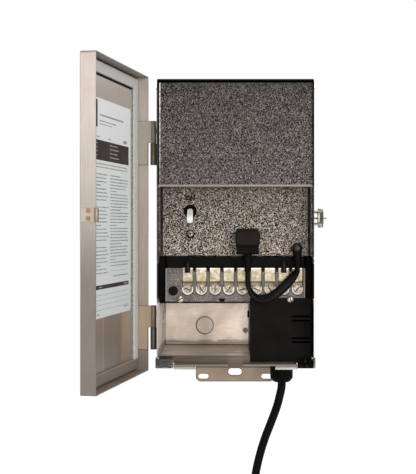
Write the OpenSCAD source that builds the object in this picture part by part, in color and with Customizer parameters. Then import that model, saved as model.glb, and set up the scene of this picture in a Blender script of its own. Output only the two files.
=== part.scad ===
// Low voltage landscape transformer in a stainless wall box, with its door swung open.
// Every piece is laid out from the middle of the box's front edges: X to the right,
// Y back towards the wall and Z up. The finished object is then set down so that its
// origin lies on the wall, midway between the two outer slots of the lower tab.

/* [Box] */
// Width over the side walls
box_w = 184; // [176:1:220]
// Height from the lower edge to the top of the roof
box_h = 338; // [330:1:400]
// Depth from the front edges to the outer face of the back wall
box_d = 137; // [130:1:170]
// Thickness of the stainless sheet
sheet_t = 1.2; // [0.8:0.1:1.4]
// Thickness of the roof and of the floor's side flanges
cap_t = 1.5; // [1:0.1:1.8]
// How far the roof's side flanges hang down outside the walls
cap_lap = 11; // [6:0.5:20]
// Height of the floor above the lower edge
floor_lift = 12; // [9:0.5:20]
// Distance from the front edges back to the step in the floor
step_back = 21.5; // [20:0.5:30]
// Drop from the floor to the sill in front of it
sill_drop = 7.2; // [4:0.2:8]
// Width of the lip below the sill
lip_w = 144; // [100:1:150]
// Width of the notch in the middle of the sill
notch_w = 18; // [8:1:30]
// Height of the lip that is left above its relief over the mounting tab
lip_keep = 2; // [1.6:0.1:4]

/* [Mounting tabs] */
// Width of both mounting tabs
tab_w = 102; // [96:1:140]
// Thickness of both mounting tabs
tab_t = 2; // [1.5:0.1:3]
// How far the lower tab reaches below the box
low_tab_reach = 35.8; // [30:0.2:60]
// How far the upper tab reaches above the box
top_tab_reach = 17; // [15:0.5:40]
// Distance between the two outer slots
slot_gap = 82; // [60:1:86]
// Drop from the box's lower edge to the outer slots
slot_drop = 29; // [22:0.5:29]
// Length of an outer slot
slot_l = 13.4; // [8:0.2:16]
// Height of an outer slot
slot_h = 6.4; // [4:0.2:8]
// Length of a middle slot
wide_slot_l = 17.6; // [10:0.2:24]
// Height of a middle slot
wide_slot_h = 8.8; // [6:0.2:10]

/* [Door] */
// How far the door stands open from closed, in degrees
door_angle = 101.35; // [60:0.05:175]
// Space between the side walls and the door's flanges
door_clear_x = 2.9; // [2.7:0.1:5]
// Space between the roof and the door's upper flange
door_clear_z = 3.4; // [1:0.1:6]
// Depth of the door's folded pan
pan_d = 16.8; // [12:0.2:18]
// Width of the foam gasket
gasket_w = 12; // [8:0.5:16]
// Thickness of the foam gasket
gasket_t = 4; // [2:0.5:6]
// Space between the foam and the box's edge when the door is shut
seal_gap = 0.3; // [0.1:0.1:1]
// Width of the instruction label
label_w = 147; // [80:1:150]
// Height of the instruction label
label_h = 233.6; // [120:1:250]
// Thickness of the instruction label
label_t = 0.2; // [0.1:0.1:0.4]

/* [Hinges and latch] */
// Distance from the side wall to the hinge axis
hinge_out = 5; // [4.8:0.1:7]
// Distance from the front edges back to the hinge axis
hinge_back = 17; // [16:0.5:24]
// Height of a hinge
hinge_h = 52; // [40:1:70]
// Radius of a hinge knuckle
knuckle_r = 3.6; // [3:0.1:4]
// Radius of a hinge pin
hinge_pin_r = 1.9; // [1.5:0.1:2.2]
// Thickness of a hinge leaf
leaf_t = 1.5; // [1:0.1:1.6]
// Height of the latch base
latch_h = 17.6; // [14:0.2:24]
// Length of the latch base
latch_l = 62; // [60:1:80]
// How far the closed lever stands out from the wall
latch_out = 13.5; // [12:0.5:18]
// Radius of the wire bail
bail_r = 1.2; // [1:0.1:1.5]
// Length of the bail from its pivot to its end
bail_l = 30.2; // [28:0.1:30.4]

/* [Front covers] */
// Depth of the upper cover's face behind the front edges
cover_back = 4; // [2:0.5:6]
// Depth of the control panel's face behind the front edges
panel_back = 24; // [20:1:28]
// Height of the upper cover's face
cover_h = 121.7; // [90:1:130]
// Height of the opening in front of the control panel
window_h = 81.6; // [70:0.5:90]
// Space between the roof and the upper cover
cover_gap = 2.2; // [1:0.1:5]

/* [Terminals] */
// Number of terminals
terminal_count = 9; // [3:1:9]
// Width of the rib between two windows
rib_w = 3.7; // [3:0.1:5]
// Height of a terminal's window
terminal_window_h = 32.2; // [28:0.2:34]
// Space between the terminal plate and the upper cover's side
strip_gap = 7.6; // [7:0.1:9]
// Height of the terminal plate
strip_h = 40.8; // [38:0.2:44]
// Space between a terminal screw's washer and its window
washer_gap = 0.7; // [0.4:0.1:1.2]

/* [Compartment cover] */
// Width of the black cover over the mains wiring
shroud_w = 73; // [60:1:80]
// How far the black cover laps over the terminal plate
shroud_lap = 5.5; // [5:0.1:8]
// Length of a louvre slot
louvre_l = 22.3; // [10:0.1:30]
// Height of a louvre slot
louvre_h = 2; // [1:0.1:3]

/* [Transformer] */
// Outside diameter of the wound ring
ring_d = 122; // [90:1:130]
// Hole through the wound ring
ring_bore_d = 44; // [30:1:50]
// Height of the wound ring along its axis
ring_h = 58; // [40:1:60]
// Thickness of the winding over the steel core
winding_t = 8; // [6:0.5:10]

/* [Switch and socket] */
// Radius of the breaker's round nut
nut_r = 7.9; // [6.5:0.1:10]
// Length of the toggle from its pivot
toggle_l = 21; // [15:0.5:26]
// Angle of the toggle below straight out, in degrees
toggle_tilt = 38; // [20:1:38]
// Width of the jumper lead's plug
plug_w = 28.4; // [24:0.2:30]
// Height of the jumper lead's plug
plug_h = 28.1; // [24:0.1:32]
// How far the plug stands in front of its socket
plug_d = 19; // [15:0.5:19]

/* [Cords] */
// Diameter of the mains cord
cord_d = 10.2; // [8:0.1:11]
// Width of the flat jumper lead
jumper_w = 11; // [8:0.1:12]
// Thickness of the flat jumper lead
jumper_t = 6; // [4:0.1:7]
// Radius of the coil's outermost turn, at the middle of the cord
coil_r = 71.5; // [60:0.5:80]
// Space between neighbouring turns of the coil
turn_gap = 0.6; // [0.5:0.1:2]
// Number of turns in the coil
coil_turns = 4; // [2:1:6]

/* [Hidden] */
$fn = 48;

// Overrun of a cut, and the clearances that fits share
over = 1;
rub = 0.3;
pin_fit = 0.05;

// Faces of the box, measured from the middle of its front edges
reach = box_d + tab_t;
half_w = box_w / 2;
half_in = half_w - sheet_t;
top_z = box_h / 2;
low_z = -top_z;
roof_under = top_z - cap_t;
floor_z = low_z + floor_lift;
sill_z = floor_z - sill_drop;
back_in = box_d - sheet_t;
lip_low = 1.4;
lip_relief_in = 4.4;
corner_tab_w = half_w - lip_w / 2;
wall_bend = 2.5;
slot_z = low_z - slot_drop;

// Round knockouts, given by radius: a groove cut from inside leaves a thin skin and a bridge
ko_r = 11.15;
ko_inset = 52.1;
ko_rise = 25.6;
ko_x = ko_inset - half_in;
ko_z = floor_z + ko_rise;
ko_cut = 0.8;
ko_skin = 0.3;
ko_bridge = 2.4;
side_ko_back = 104;
side_ko_rs = [5.6, 8.8];
side_ko_rises = [42.2, 21.1];

// Mounting tabs
tab_corner = 6;
tab_lap = 24;
wide_slot_up = 6;
top_slot_up = 9;
tab_rivet_r = 2.2;
tab_rivet_head_r = 3.6;
tab_rivet_head = 0.8;
tab_rivet_shares = [-0.36, -0.18, 0.18, 0.36];
low_rivet_z = low_z + floor_lift / 2;
top_rivet_z = top_z - tab_lap / 2;

// Door pan in its closed place
pan_in_x = half_w + door_clear_x;
pan_in_z = top_z + door_clear_z;
pan_front = -(gasket_t + seal_gap + sheet_t);
pan_inner = pan_front + sheet_t;
pan_lip = pan_front + pan_d;
pan_bend = 1.6;
gasket_edge = 1.8;
label_up = 16.2;
hinge_x = -(half_w + hinge_out);
hinge_drop = 73.6;
hinge_rise = 46.4;
hinge_zs = [top_z - hinge_drop, low_z + hinge_rise];
knuckle_gap = 0.4;
leaf_reach = 27;
hinge_rivet_r = 2;
hinge_rivet_head = 1;
hinge_rivet_share = 0.3;

// Draw latch on the right wall
latch_z = 6.8;
latch_front = 20;
latch_t = 1.5;
lever_pivot_y = 28;
lever_pivot_out = 7.5;
lever_pin_r = 1.5;
lever_t = 1.2;
lever_end_r = 4.5;
lever_tail = 58;
lever_bend_share = 0.9;
lever_lip = 3;
ear_l = 13;
ear_out = 11.3;
bail_pivot_y = 38;
bail_pivot_out = 8.5;
bail_half_h = latch_h / 2 + rub + bail_r;
bail_lean = 13;
staple_y = 77;
staple_out = 21;
staple_w = 9;
staple_t = 2;
staple_hole_r = 2.8;
staple_room = 2;
latch_rivet_r = 1.8;
latch_rivet_head = 0.9;
keeper_w = 14;
keeper_t = 1.2;
keeper_rise = 1.5;
keeper_z = latch_z + keeper_rise;
keeper_x = pan_in_x + sheet_t;
keeper_l = 17;
keeper_curl_r = 2.6;
keeper_rivet_y = 3.7;
keeper_rivet_rise = 0.5;
keeper_rivet_z = keeper_z + keeper_rivet_rise;
keeper_rivet_gap = 8;
keeper_rivet_r = 1.6;
keeper_rivet_head = 0.9;

// Covers in the front of the box
cover_top = roof_under - cover_gap;
window_top = cover_top - cover_h;
window_low = window_top - window_h;
cover_fit = 0.4;
cover_side = half_in - cover_fit;
flange_d = 30;
window_bar_w = 2.1;
window_side = cover_side - window_bar_w;
panel_gap = 2;
panel_side = window_side - panel_gap;
panel_lap = 8;

// Terminal block behind its plate
strip_proud = 2.5;
strip_front = panel_back - strip_proud;
strip_t = 3.2;
strip_back = strip_front + strip_t;
strip_drop = 14.7;
strip_top = window_low - strip_drop;
strip_low = strip_top - strip_h;
strip_bevel = 1.2;
strip_side = cover_side - strip_gap;
strip_w = 2 * strip_side;
hole_plug_r = 5.7;
hole_plug_inset = 9;
hole_plug_x = hole_plug_inset - strip_side;
row_gap_left = 5.1;
row_gap_right = 2.8;
row_left = hole_plug_x + hole_plug_r + row_gap_left;
row_right = strip_side - row_gap_right;
terminal_pitch = (row_right - row_left + rib_w) / terminal_count;
window_w = terminal_pitch - rib_w;
base_d = 21.1;
base_back = strip_back + base_d;
base_inset = 1.3;
base_side = strip_side - base_inset;
base_drop = 1.5;
base_top = window_low - base_drop;
moon_r = 4;
moon_up = 4.8;
moon_share = 1 / 3;
moon_x = row_left + round(terminal_count * moon_share) * terminal_pitch - rib_w / 2;
pocket_d = 11;
clamp_t = 1.5;
clamp_rise = 2;
tongue_in = 4;
clamp_side = 0.4;
clamp_step = 17;
clamp_hole_r = 2.7;
lug_screw_drop = 25.1;
washer_r = window_w / 2 - washer_gap;
lug_screw_r = washer_r - washer_gap;
lug_head_t = 3.3;
lug_shank_r = 2.4;
lug_shank_l = 8;
lug_slot_w = 1.3;
lug_slot_d = 1.4;
washer_t = 0.8;
bracket_t = 1.2;
bracket_lip = strip_gap - 3 * rub;
bracket_front = 26;
bracket_low = strip_low - bracket_t;
plate_screw_inset = 17.5;
plate_screw_x = strip_side - plate_screw_inset;
plate_screw_up = 4;
plate_screw_r = 4.4;
plate_screw_h = 2.6;
plate_shank_r = 1.7;
plate_shank_l = 12;
hole_plug_drop = 27;
hole_plug_stem_r = 4.6;
hole_plug_head = 0.8;
stub_r = 3.3;
stub_out = 6.2;
stub_drop = 12;
stub_places = [0, terminal_count - 2];
lead_r = 1.6;

// How the plain leads climb from the block, as depths and rises above it, and how they end
// at the winding, as depths and drops below it
lead_climb = [[40, 0], [40, 2], [50, 10], [52, 26], [66, 52]];
lead_end = [[90, 18], [94, 6], [94, 0]];
lead_gather_share = 0.45;

// Wound ring on the back wall
ring_drop = 6.3;
ring_z = cover_top - ring_d / 2 - ring_drop;
pad_t = 2;
core_fit = 0.3;
ring_back = back_in - pad_t;
ring_front = ring_back - ring_h;
dish_r = 42;
dish_t = 2;
stud_r = 4;
stud_nut_r = 7.5;
stud_nut_h = 6.5;

// Breaker with its toggle, and the socket beside it
breaker_share = -0.621;
breaker_x = panel_side * breaker_share;
breaker_rise = 52.9;
breaker_z = window_low + breaker_rise;
breaker_w = 18;
breaker_h = 42;
breaker_d = 36;
nut_t = 3.5;
bushing_r = 5.6;
bushing_bore_r = 4.9;
pivot_in = 0.6;
ball_r = 3.1;
pivot_r = 0.8;
toggle_root_t = 5;
toggle_tip_t = 3.2;
toggle_root_w = 6.2;
toggle_tip_w = 7.2;
panel_screw_drop = 26.6;
panel_screw_r = 4.1;
panel_screw_h = 2.8;
socket_share = 0.168;
socket_x = panel_side * socket_share;
socket_rise = 19.5;
socket_z = window_low + socket_rise;
socket_w = 26.6;
socket_h = 25;
socket_face = 1.5;
socket_body_d = 19;
prong_up = 4.5;
prong_shift = 5;
blade_gap = 12.7;
blade_w = 6.3;
blade_t = 1.5;
blade_l = 16;
blade_fit = 0.3;
ground_drop = 11.9;
ground_r = 2.3;
plug_rise = 10.7;
plug_top = socket_z + plug_rise;
plug_neck_share = 0.63;
plug_chamfer = 3.2;
plug_lower_step = 2.2;
plug_lower_in = 1.5;
relief_l = 20;
relief_w = 11.6;
relief_d = 9;
bushing_share = 0.847;
bushing_x = panel_side * bushing_share;
bushing_rise = 9;
bushing_z = window_low + bushing_rise;
bushing_flange_r = 6.65;
bushing_flange_t = 2;
bushing_nose_r = 4.6;
bushing_relief_l = 22;
lead_y = 12;

// Mains compartment
shroud_x = half_in - shroud_w - cover_fit;
shroud_front = step_back - sheet_t;
shroud_low = sill_z + rub;
shroud_top = strip_low + shroud_lap;
louvre_inset = 1.9;
louvre_x = half_in - louvre_l - louvre_inset;
louvre_drops = [20.9, 26.1, 46.8, 51.5];
grommet_y = 80;
grommet_drop = 24.2;
grommet_z = shroud_top - grommet_drop;
grommet_r = 4.2;
grommet_out = 2.2;
ground_steps = [-4, 14.6];
ground_xs = [for (step = ground_steps) shroud_x + step];
ground_rise = 19;
ground_z = floor_z + ground_rise;
ground_head_r = 3.4;
ground_head_h = 2.2;
gland_inset = 33.9;
gland_x = half_in - gland_inset;
gland_y = 64;
gland_r = 13.9;
gland_body_h = 12;
gland_taper_h = 5.3;
gland_tip_r = 9.7;
gland_thread_r = 10.4;
gland_thread_h = 10;
locknut_r = 13.5;
locknut_h = 4.5;

// The mains leads' steps from the gland's top towards the winding, the drop of their last
// stretch below it, and the earth lead's steps towards its screw
primary_gap = 10;
primary_steps = [[0, 0, 0], [0, 0, 15], [0, 10, 50], [-8, 28, 100], [-22, 42, 150]];
primary_end = [-28, 44];
primary_end_drop = 8;
earth_steps = [[0, 5, 0], [0, 6, 8], [-5, 20, 16], [-14, 45, 14]];
earth_end_l = 6;

// The mains cord's route down from the gland, and the coil of its unseen length
cord_route = [
    [57, 64, -193.8], [57, 64, -200], [55, 64, -210], [51, 64, -225], [44, 64, -244], [37, 64, -262],
    [31, 64, -281], [26, 64, -302], [23, 64, -324], [22, 64, -348], [22, 64, -366], [22, 64, -379.8]
];
cord_sides = 8;
turn_pitch = cord_d + turn_gap;
coil_x = cord_route[len(cord_route) - 1][0] - coil_r;
coil_y = gland_y;
coil_z = -390;
coil_end_l = cord_d;
turn_rings = 24;
coil_sides = 6;
climb_share = 0.25;
tie_w = 12;
tie_t = 1.4;
tie_clear = 0.7;
tail_l = 12;
plug_relief_l = 28;
plug_body_l = 32;
plug_body_w = 27;
plug_body_t = 22;
plug_round = 4;
mains_blade_l = 17.5;
mains_ground_l = 20.5;

// The jumper lead's route from the plug round to the bushing, and how each point is rolled
jumper_route = [
    [14.5, 12, -55.9], [14.5, 12, -62], [14.7, 12, -69], [16.5, 12, -77], [22, 12, -85], [30, 12, -88.6],
    [39, 12, -87.4], [48, 12, -82.5], [56, 12, -75.8], [62.5, 12, -69], [68, 12, -62.5],
    [71.6, 12, -57.6], [73.1, 12, -53.8], [73.1, 12, -51]
];
jumper_rolls = [0, 0, 5, 15, 30, 50, 65, 75, 80, 75, 55, 30, 8, 0];
jumper_sides = 12;

function unit(v) = v / norm(v);

// Direction of a route at one of its points
function heading(path, i) =
    i == 0 ? unit(path[1] - path[0])
    : i == len(path) - 1 ? unit(path[i] - path[i - 1])
    : unit(unit(path[i + 1] - path[i]) + unit(path[i] - path[i - 1]));

// Sideways directions that follow a route without twisting round it
function sideways(path, guide, i = 0, done = []) =
    i == len(path) ? done
    : let(t = heading(path, i), from = i == 0 ? guide : done[i - 1])
        sideways(path, guide, i + 1, concat(done, [unit(from - (from * t) * t)]));

// One point of the coil: in and out again at a steady rate, climbing where it turns back
function coil_point(turn) =
    let(
        inward = min(turn, coil_turns - turn),
        radius = coil_r - turn_pitch * inward,
        climb = min(max((turn - coil_turns / 2) / (2 * climb_share) + 0.5, 0), 1),
        angle = -360 * turn
    )
    [coil_x + radius * cos(angle), coil_y + turn_pitch * climb, coil_z + radius * sin(angle)];

coil_rings = coil_turns * turn_rings;
coil_path = concat(
    [coil_point(0) + [0, 0, coil_end_l]],
    [for (i = [0:coil_rings]) coil_point(i / turn_rings)],
    [coil_point(coil_turns) - [0, 0, coil_end_l]]
);
coil_tail = coil_path[len(coil_path) - 1];
plug_start = coil_tail - [0, 0, tail_l];
coil_least_gap = min([
    for (i = [0:len(coil_path) - 1], j = [i + turn_rings / 2:len(coil_path) - 1])
        norm(coil_path[i] - coil_path[j])
]) - cord_d;
echo(least_gap_between_turns = coil_least_gap);

// Sets the finished pieces down on the wall frame
module place() {
    translate([0, -reach, -slot_z]) children();
}

// Swings the door's pieces from closed to where they stand
module swung() {
    place()
        translate([hinge_x, hinge_back])
            rotate([0, 0, -door_angle])
                translate([-hinge_x, -hinge_back])
                    children();
}

module slab(low, high) {
    translate(low) cube(high - low);
}

module rod_x(x0, x1, y, z, r) {
    translate([x0, y, z]) rotate([0, 90, 0]) cylinder(h = x1 - x0, r = r);
}

module rod_y(x, z, y0, y1, r) {
    translate([x, y1, z]) rotate([90, 0, 0]) cylinder(h = y1 - y0, r = r);
}

module rod_z(x, y, z0, z1, r) {
    translate([x, y, z0]) cylinder(h = z1 - z0, r = r);
}

// Gives an outline seen from the front its thickness, from y0 back to y1
module facing(y0, y1) {
    translate([0, y1]) rotate([90, 0, 0]) linear_extrude(y1 - y0) children();
}

// Stands a plan outline up from z0 to z1
module upright(z0, z1) {
    translate([0, 0, z0]) linear_extrude(z1 - z0) children();
}

// Gives an outline seen from the right its width, from x0 to x1
module across(x0, x1) {
    translate([x0, 0]) rotate([90, 0, 90]) linear_extrude(x1 - x0) children();
}

module round_rect(low, high, r) {
    translate(low + [r, 0]) square([high[0] - low[0] - 2 * r, high[1] - low[1]]);
    translate(low + [0, r]) square([high[0] - low[0], high[1] - low[1] - 2 * r]);
    for (x = [low[0] + r, high[0] - r], y = [low[1] + r, high[1] - r])
        translate([x, y]) circle(r);
}

module slot_outline(l, h) {
    square([l - h, h], center = true);
    for (side = [-1, 1]) translate([side * (l - h) / 2, 0]) circle(h / 2);
}

// One tube or flat lead swept along a route, as triangles
module swept(path, half_wide, half_thick, sides, guide, rolls = undef) {
    side = sideways(path, guide);
    n = len(path);
    points = [
        for (i = [0:n - 1], j = [0:sides - 1])
            let(
                a = 360 * (j + 0.5) / sides,
                roll = rolls == undef ? 0 : rolls[i],
                u = side[i],
                v = cross(heading(path, i), u),
                w = half_wide * cos(a),
                t = half_thick * sin(a)
            )
            path[i] + u * (w * cos(roll) - t * sin(roll)) + v * (w * sin(roll) + t * cos(roll))
    ];
    walls = [
        for (i = [0:n - 2], j = [0:sides - 1])
            let(a = i * sides + j, b = i * sides + (j + 1) % sides)
                for (face = [[a, a + sides, b + sides], [a, b + sides, b]]) face
    ];
    last = (n - 1) * sides;
    caps = [
        for (j = [1:sides - 2])
            for (face = [[0, j, j + 1], [last, last + j + 1, last + j]]) face
    ];
    polyhedron(points = points, faces = concat(walls, caps), convexity = 10);
}

// The groove round a knockout, but for its bridge below
module knockout_cut(r) {
    difference() {
        circle(r);
        circle(r - ko_cut);
        translate([-ko_bridge / 2, -r - over]) square([ko_bridge, r + over]);
    }
}

module enclosure_shell() {
    color("silver") place() difference() {
        upright(floor_z, roof_under) difference() {
            round_rect([-half_w, -2 * wall_bend], [half_w, box_d], wall_bend);
            round_rect([-half_in, -3 * wall_bend], [half_in, back_in], wall_bend - sheet_t);
            translate([-box_w, -box_d]) square([2 * box_w, box_d]);
        }
        facing(back_in - over, box_d - ko_skin) translate([ko_x, ko_z]) knockout_cut(ko_r);
        for (i = [0:len(side_ko_rs) - 1])
            across(-half_w + ko_skin, -half_in + over)
                translate([side_ko_back, floor_z + side_ko_rises[i]]) knockout_cut(side_ko_rs[i]);
        for (x = ground_xs) rod_y(x, ground_z, back_in - over, box_d + over, lug_shank_r);
        tab_rivet_places(top_rivet_z) rod_y(0, 0, back_in - over, box_d + over, tab_rivet_r);
    }
}

module top_panel() {
    color("silver") place() {
        slab([-half_w - cap_t, 0, roof_under], [half_w + cap_t, box_d, top_z]);
        for (side = [-1, 1])
            slab(
                [side > 0 ? half_w : -half_w - cap_t, 0, top_z - cap_lap],
                [side > 0 ? half_w + cap_t : -half_w, box_d, roof_under + over / 2]
            );
    }
}

// Floor with its step, sill and lip in one folded sheet; the sill is notched in the middle,
// and the lip is cut back over the tab so a driver reaches the middle slot
module floor_panel() {
    color("silver") place() difference() {
        union() {
            slab([-half_w - cap_t, step_back, floor_z - sheet_t], [half_w + cap_t, box_d, floor_z]);
            slab([-half_in, step_back, sill_z - sheet_t], [half_in, step_back + sheet_t, floor_z]);
            slab([-lip_w / 2, 0, sill_z - sheet_t], [lip_w / 2, step_back + sheet_t, sill_z]);
            slab([-lip_w / 2, 0, low_z - lip_low], [lip_w / 2, sheet_t, sill_z]);
            slab([-half_w, back_in, low_z], [half_w, box_d, floor_z]);
            for (side = [-1, 1]) {
                slab(
                    [side > 0 ? half_w : -half_w - cap_t, 0, low_z],
                    [side > 0 ? half_w + cap_t : -half_w, box_d, floor_z]
                );
                slab(
                    [side > 0 ? half_w - corner_tab_w + rub : -half_w, 0, low_z],
                    [side > 0 ? half_w : -half_w + corner_tab_w - rub, sheet_t, floor_z - sheet_t]
                );
            }
        }
        slab(
            [-notch_w / 2, -over, low_z - lip_low - over],
            [notch_w / 2, step_back, sill_z + over]
        );
        slab(
            [lip_relief_in - tab_w / 2, -over, low_z - lip_low - over],
            [tab_w / 2 - lip_relief_in, sheet_t + over, sill_z - lip_keep]
        );
        rod_z(gland_x, gland_y, floor_z - sheet_t - over, floor_z + over, gland_thread_r + pin_fit);
        tab_rivet_places(low_rivet_z) rod_y(0, 0, back_in - over, box_d + over, tab_rivet_r);
    }
}

module tab_rivet_places(z) {
    for (share = tab_rivet_shares) translate([share * tab_w, 0, z]) children();
}

module lower_mount_tab() {
    color("silver") place() difference() {
        facing(box_d, reach) difference() {
            round_rect([-tab_w / 2, low_z - low_tab_reach], [tab_w / 2, low_z + tab_lap], tab_corner);
            for (side = [-1, 1])
                translate([side * slot_gap / 2, slot_z]) slot_outline(slot_l, slot_h);
            translate([0, slot_z + wide_slot_up]) slot_outline(wide_slot_l, wide_slot_h);
        }
        tab_rivet_places(low_rivet_z) rod_y(0, 0, box_d - over, reach + over, tab_rivet_r);
    }
}

module upper_mount_tab() {
    color("silver") place() difference() {
        facing(box_d, reach) difference() {
            round_rect([-tab_w / 2, top_z - tab_lap], [tab_w / 2, top_z + top_tab_reach], tab_corner);
            translate([0, top_z + top_slot_up]) slot_outline(wide_slot_l, wide_slot_h);
        }
        tab_rivet_places(top_rivet_z) rod_y(0, 0, box_d - over, reach + over, tab_rivet_r);
    }
}

// Rivets set flush with the wall face of the tabs, with their heads inside the box's back
module tab_rivets() {
    color("silver") place()
        for (z = [low_rivet_z, top_rivet_z]) tab_rivet_places(z) {
            rod_y(0, 0, back_in, reach, tab_rivet_r);
            rod_y(0, 0, back_in - tab_rivet_head, back_in, tab_rivet_head_r);
        }
}

// Upper cover with its folded sides and the frame round the control panel
module transformer_cover() {
    color([0.42, 0.39, 0.36]) place() {
        facing(cover_back, cover_back + sheet_t)
            translate([-cover_side, window_top]) square([2 * cover_side, cover_h]);
        slab(
            [-cover_side, cover_back, cover_top - sheet_t],
            [cover_side, cover_back + flange_d, cover_top]
        );
        slab([-cover_side, cover_back, window_top], [cover_side, panel_back, window_top + sheet_t]);
        for (side = [-1, 1]) {
            slab(
                [side > 0 ? cover_side - sheet_t : -cover_side, cover_back, window_low],
                [side > 0 ? cover_side : -cover_side + sheet_t, cover_back + flange_d, cover_top]
            );
            slab(
                [side > 0 ? window_side : -cover_side, cover_back, window_low],
                [side > 0 ? cover_side : -window_side, panel_back, window_top + sheet_t]
            );
        }
    }
}

module control_panel() {
    color([0.52, 0.48, 0.44]) place() difference() {
        union() {
            slab(
                [-panel_side, panel_back, window_low],
                [panel_side, panel_back + sheet_t, window_top + panel_lap]
            );
            slab(
                [-panel_side, panel_back, window_low],
                [panel_side, panel_back + panel_lap, window_low + sheet_t]
            );
        }
        rod_y(breaker_x, breaker_z, panel_back - over, panel_back + panel_lap, bushing_r + pin_fit);
        rod_y(breaker_x, breaker_z - panel_screw_drop, panel_back - over, panel_back + panel_lap,
            plate_shank_r + pin_fit);
        rod_y(bushing_x, bushing_z, panel_back - over, panel_back + sheet_t + over,
            bushing_nose_r + pin_fit);
        slab(
            [socket_x - socket_w / 2 + over, panel_back - over, socket_z - socket_h / 2 + over],
            [socket_x + socket_w / 2 - over, panel_back + panel_lap - over, socket_z + socket_h / 2 - over]
        );
    }
}

module dome_screw(x, y, z, r, h, shank_r, shank_l) {
    rod_y(x, z, y, y + shank_l, shank_r);
    translate([x, y, z]) rotate([90, 0, 0]) rotate_extrude() intersection() {
        translate([0, h - (r * r + h * h) / (2 * h)]) circle((r * r + h * h) / (2 * h));
        square([r, h]);
    }
}

module panel_screw() {
    color("silver") place()
        dome_screw(breaker_x, panel_back, breaker_z - panel_screw_drop, panel_screw_r, panel_screw_h,
            plate_shank_r, panel_lap);
}

breaker_back = panel_back + sheet_t + breaker_d;
pivot_y = panel_back - nut_t + pivot_in;

// Breaker block with its threaded bushing and the cross pin that carries the toggle
module breaker_body() {
    color([0.12, 0.12, 0.13]) place() difference() {
        union() {
            slab(
                [breaker_x - breaker_w / 2, panel_back + sheet_t, breaker_z - breaker_h / 2],
                [breaker_x + breaker_w / 2, breaker_back, breaker_z + breaker_h / 2]
            );
            rod_y(breaker_x, breaker_z, panel_back - nut_t, panel_back + sheet_t, bushing_r);
        }
        difference() {
            rod_y(breaker_x, breaker_z, panel_back - nut_t - over, panel_back + 2 * sheet_t,
                bushing_bore_r);
            rod_x(breaker_x - bushing_r, breaker_x + bushing_r, pivot_y, breaker_z, pivot_r);
        }
    }
}

module breaker_nut() {
    color([0.1, 0.1, 0.1]) place() difference() {
        rod_y(breaker_x, breaker_z, panel_back - nut_t, panel_back, nut_r);
        rod_y(breaker_x, breaker_z, panel_back - nut_t - over, panel_back + over, bushing_r + pin_fit);
    }
}

// Flat bat that widens and thins towards its tip, on a ball with a cross hole
module toggle_lever() {
    color("white") place() difference() {
        translate([breaker_x, pivot_y, breaker_z]) rotate([toggle_tilt, 0, 0]) {
            intersection() {
                across(-toggle_tip_w / 2, toggle_tip_w / 2) polygon([
                    [0, -toggle_root_t / 2], [0, toggle_root_t / 2],
                    [-toggle_l, toggle_tip_t / 2], [-toggle_l, -toggle_tip_t / 2]
                ]);
                upright(-toggle_root_t, toggle_root_t) union() {
                    polygon([
                        [-toggle_root_w / 2, 0], [toggle_root_w / 2, 0],
                        [toggle_tip_w / 2, toggle_tip_w / 2 - toggle_l],
                        [-toggle_tip_w / 2, toggle_tip_w / 2 - toggle_l]
                    ]);
                    translate([0, toggle_tip_w / 2 - toggle_l]) circle(toggle_tip_w / 2);
                }
            }
            sphere(ball_r);
        }
        rod_x(breaker_x - bushing_r, breaker_x + bushing_r, pivot_y, breaker_z, pivot_r + pin_fit);
    }
}

socket_front = panel_back - socket_face;

// Flat outline of the prongs as seen from the front, with an optional fit round them
module prong_outline(fit) {
    for (side = [-1, 1])
        translate([side * blade_gap / 2, 0]) square([blade_t + 2 * fit, blade_w + 2 * fit], center = true);
    translate([0, -ground_drop]) circle(ground_r + fit);
}

module receptacle() {
    color([0.08, 0.08, 0.08]) place() difference() {
        union() {
            facing(socket_front, panel_back)
                translate([socket_x, socket_z])
                    round_rect([-socket_w / 2, -socket_h / 2], [socket_w / 2, socket_h / 2], over);
            slab(
                [socket_x - socket_w / 2 + over, panel_back, socket_z - socket_h / 2 + over],
                [socket_x + socket_w / 2 - over, panel_back + socket_body_d,
                    socket_z + socket_h / 2 - over]
            );
        }
        facing(socket_front - over, socket_front + blade_l + over)
            translate([socket_x, socket_z + prong_up]) prong_outline(blade_fit);
    }
}

module jumper_blades() {
    color("gold") place()
        facing(socket_front - rub, socket_front + blade_l - over)
            translate([socket_x, socket_z + prong_up]) prong_outline(0);
}

plug_back = socket_front - rub;
plug_front = plug_back - plug_d;
plug_low = plug_top - plug_h;
plug_waist = plug_top - plug_h * plug_neck_share;
plug_lower_w = plug_w - plug_lower_step;

// Right angle plug: an eight-sided head over a plainer lower block and its tapered relief
module jumper_plug() {
    color([0.09, 0.09, 0.09]) place() translate([socket_x, 0]) {
        facing(plug_front, plug_back) polygon([
            [-plug_w / 2, plug_waist + plug_chamfer / 2],
            [-plug_w / 2, plug_top - plug_chamfer],
            [-plug_w / 2 + plug_chamfer, plug_top],
            [plug_w / 2 - plug_chamfer, plug_top],
            [plug_w / 2, plug_top - plug_chamfer],
            [plug_w / 2, plug_waist + plug_chamfer / 2],
            [plug_w / 2 - plug_chamfer / 2, plug_waist],
            [-plug_w / 2 + plug_chamfer / 2, plug_waist]
        ]);
        slab(
            [-plug_lower_w / 2, plug_front + plug_lower_in, plug_low],
            [plug_lower_w / 2, plug_back - plug_lower_in, plug_waist]
        );
        hull() {
            translate([0, lead_y, plug_low]) linear_extrude(over / 2)
                scale([relief_w, relief_d]) circle(d = 1, $fn = 24);
            translate([0, lead_y, plug_low - relief_l]) linear_extrude(over / 2)
                scale([jumper_t + 1, jumper_w]) circle(d = 1, $fn = 24);
        }
    }
}

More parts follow.
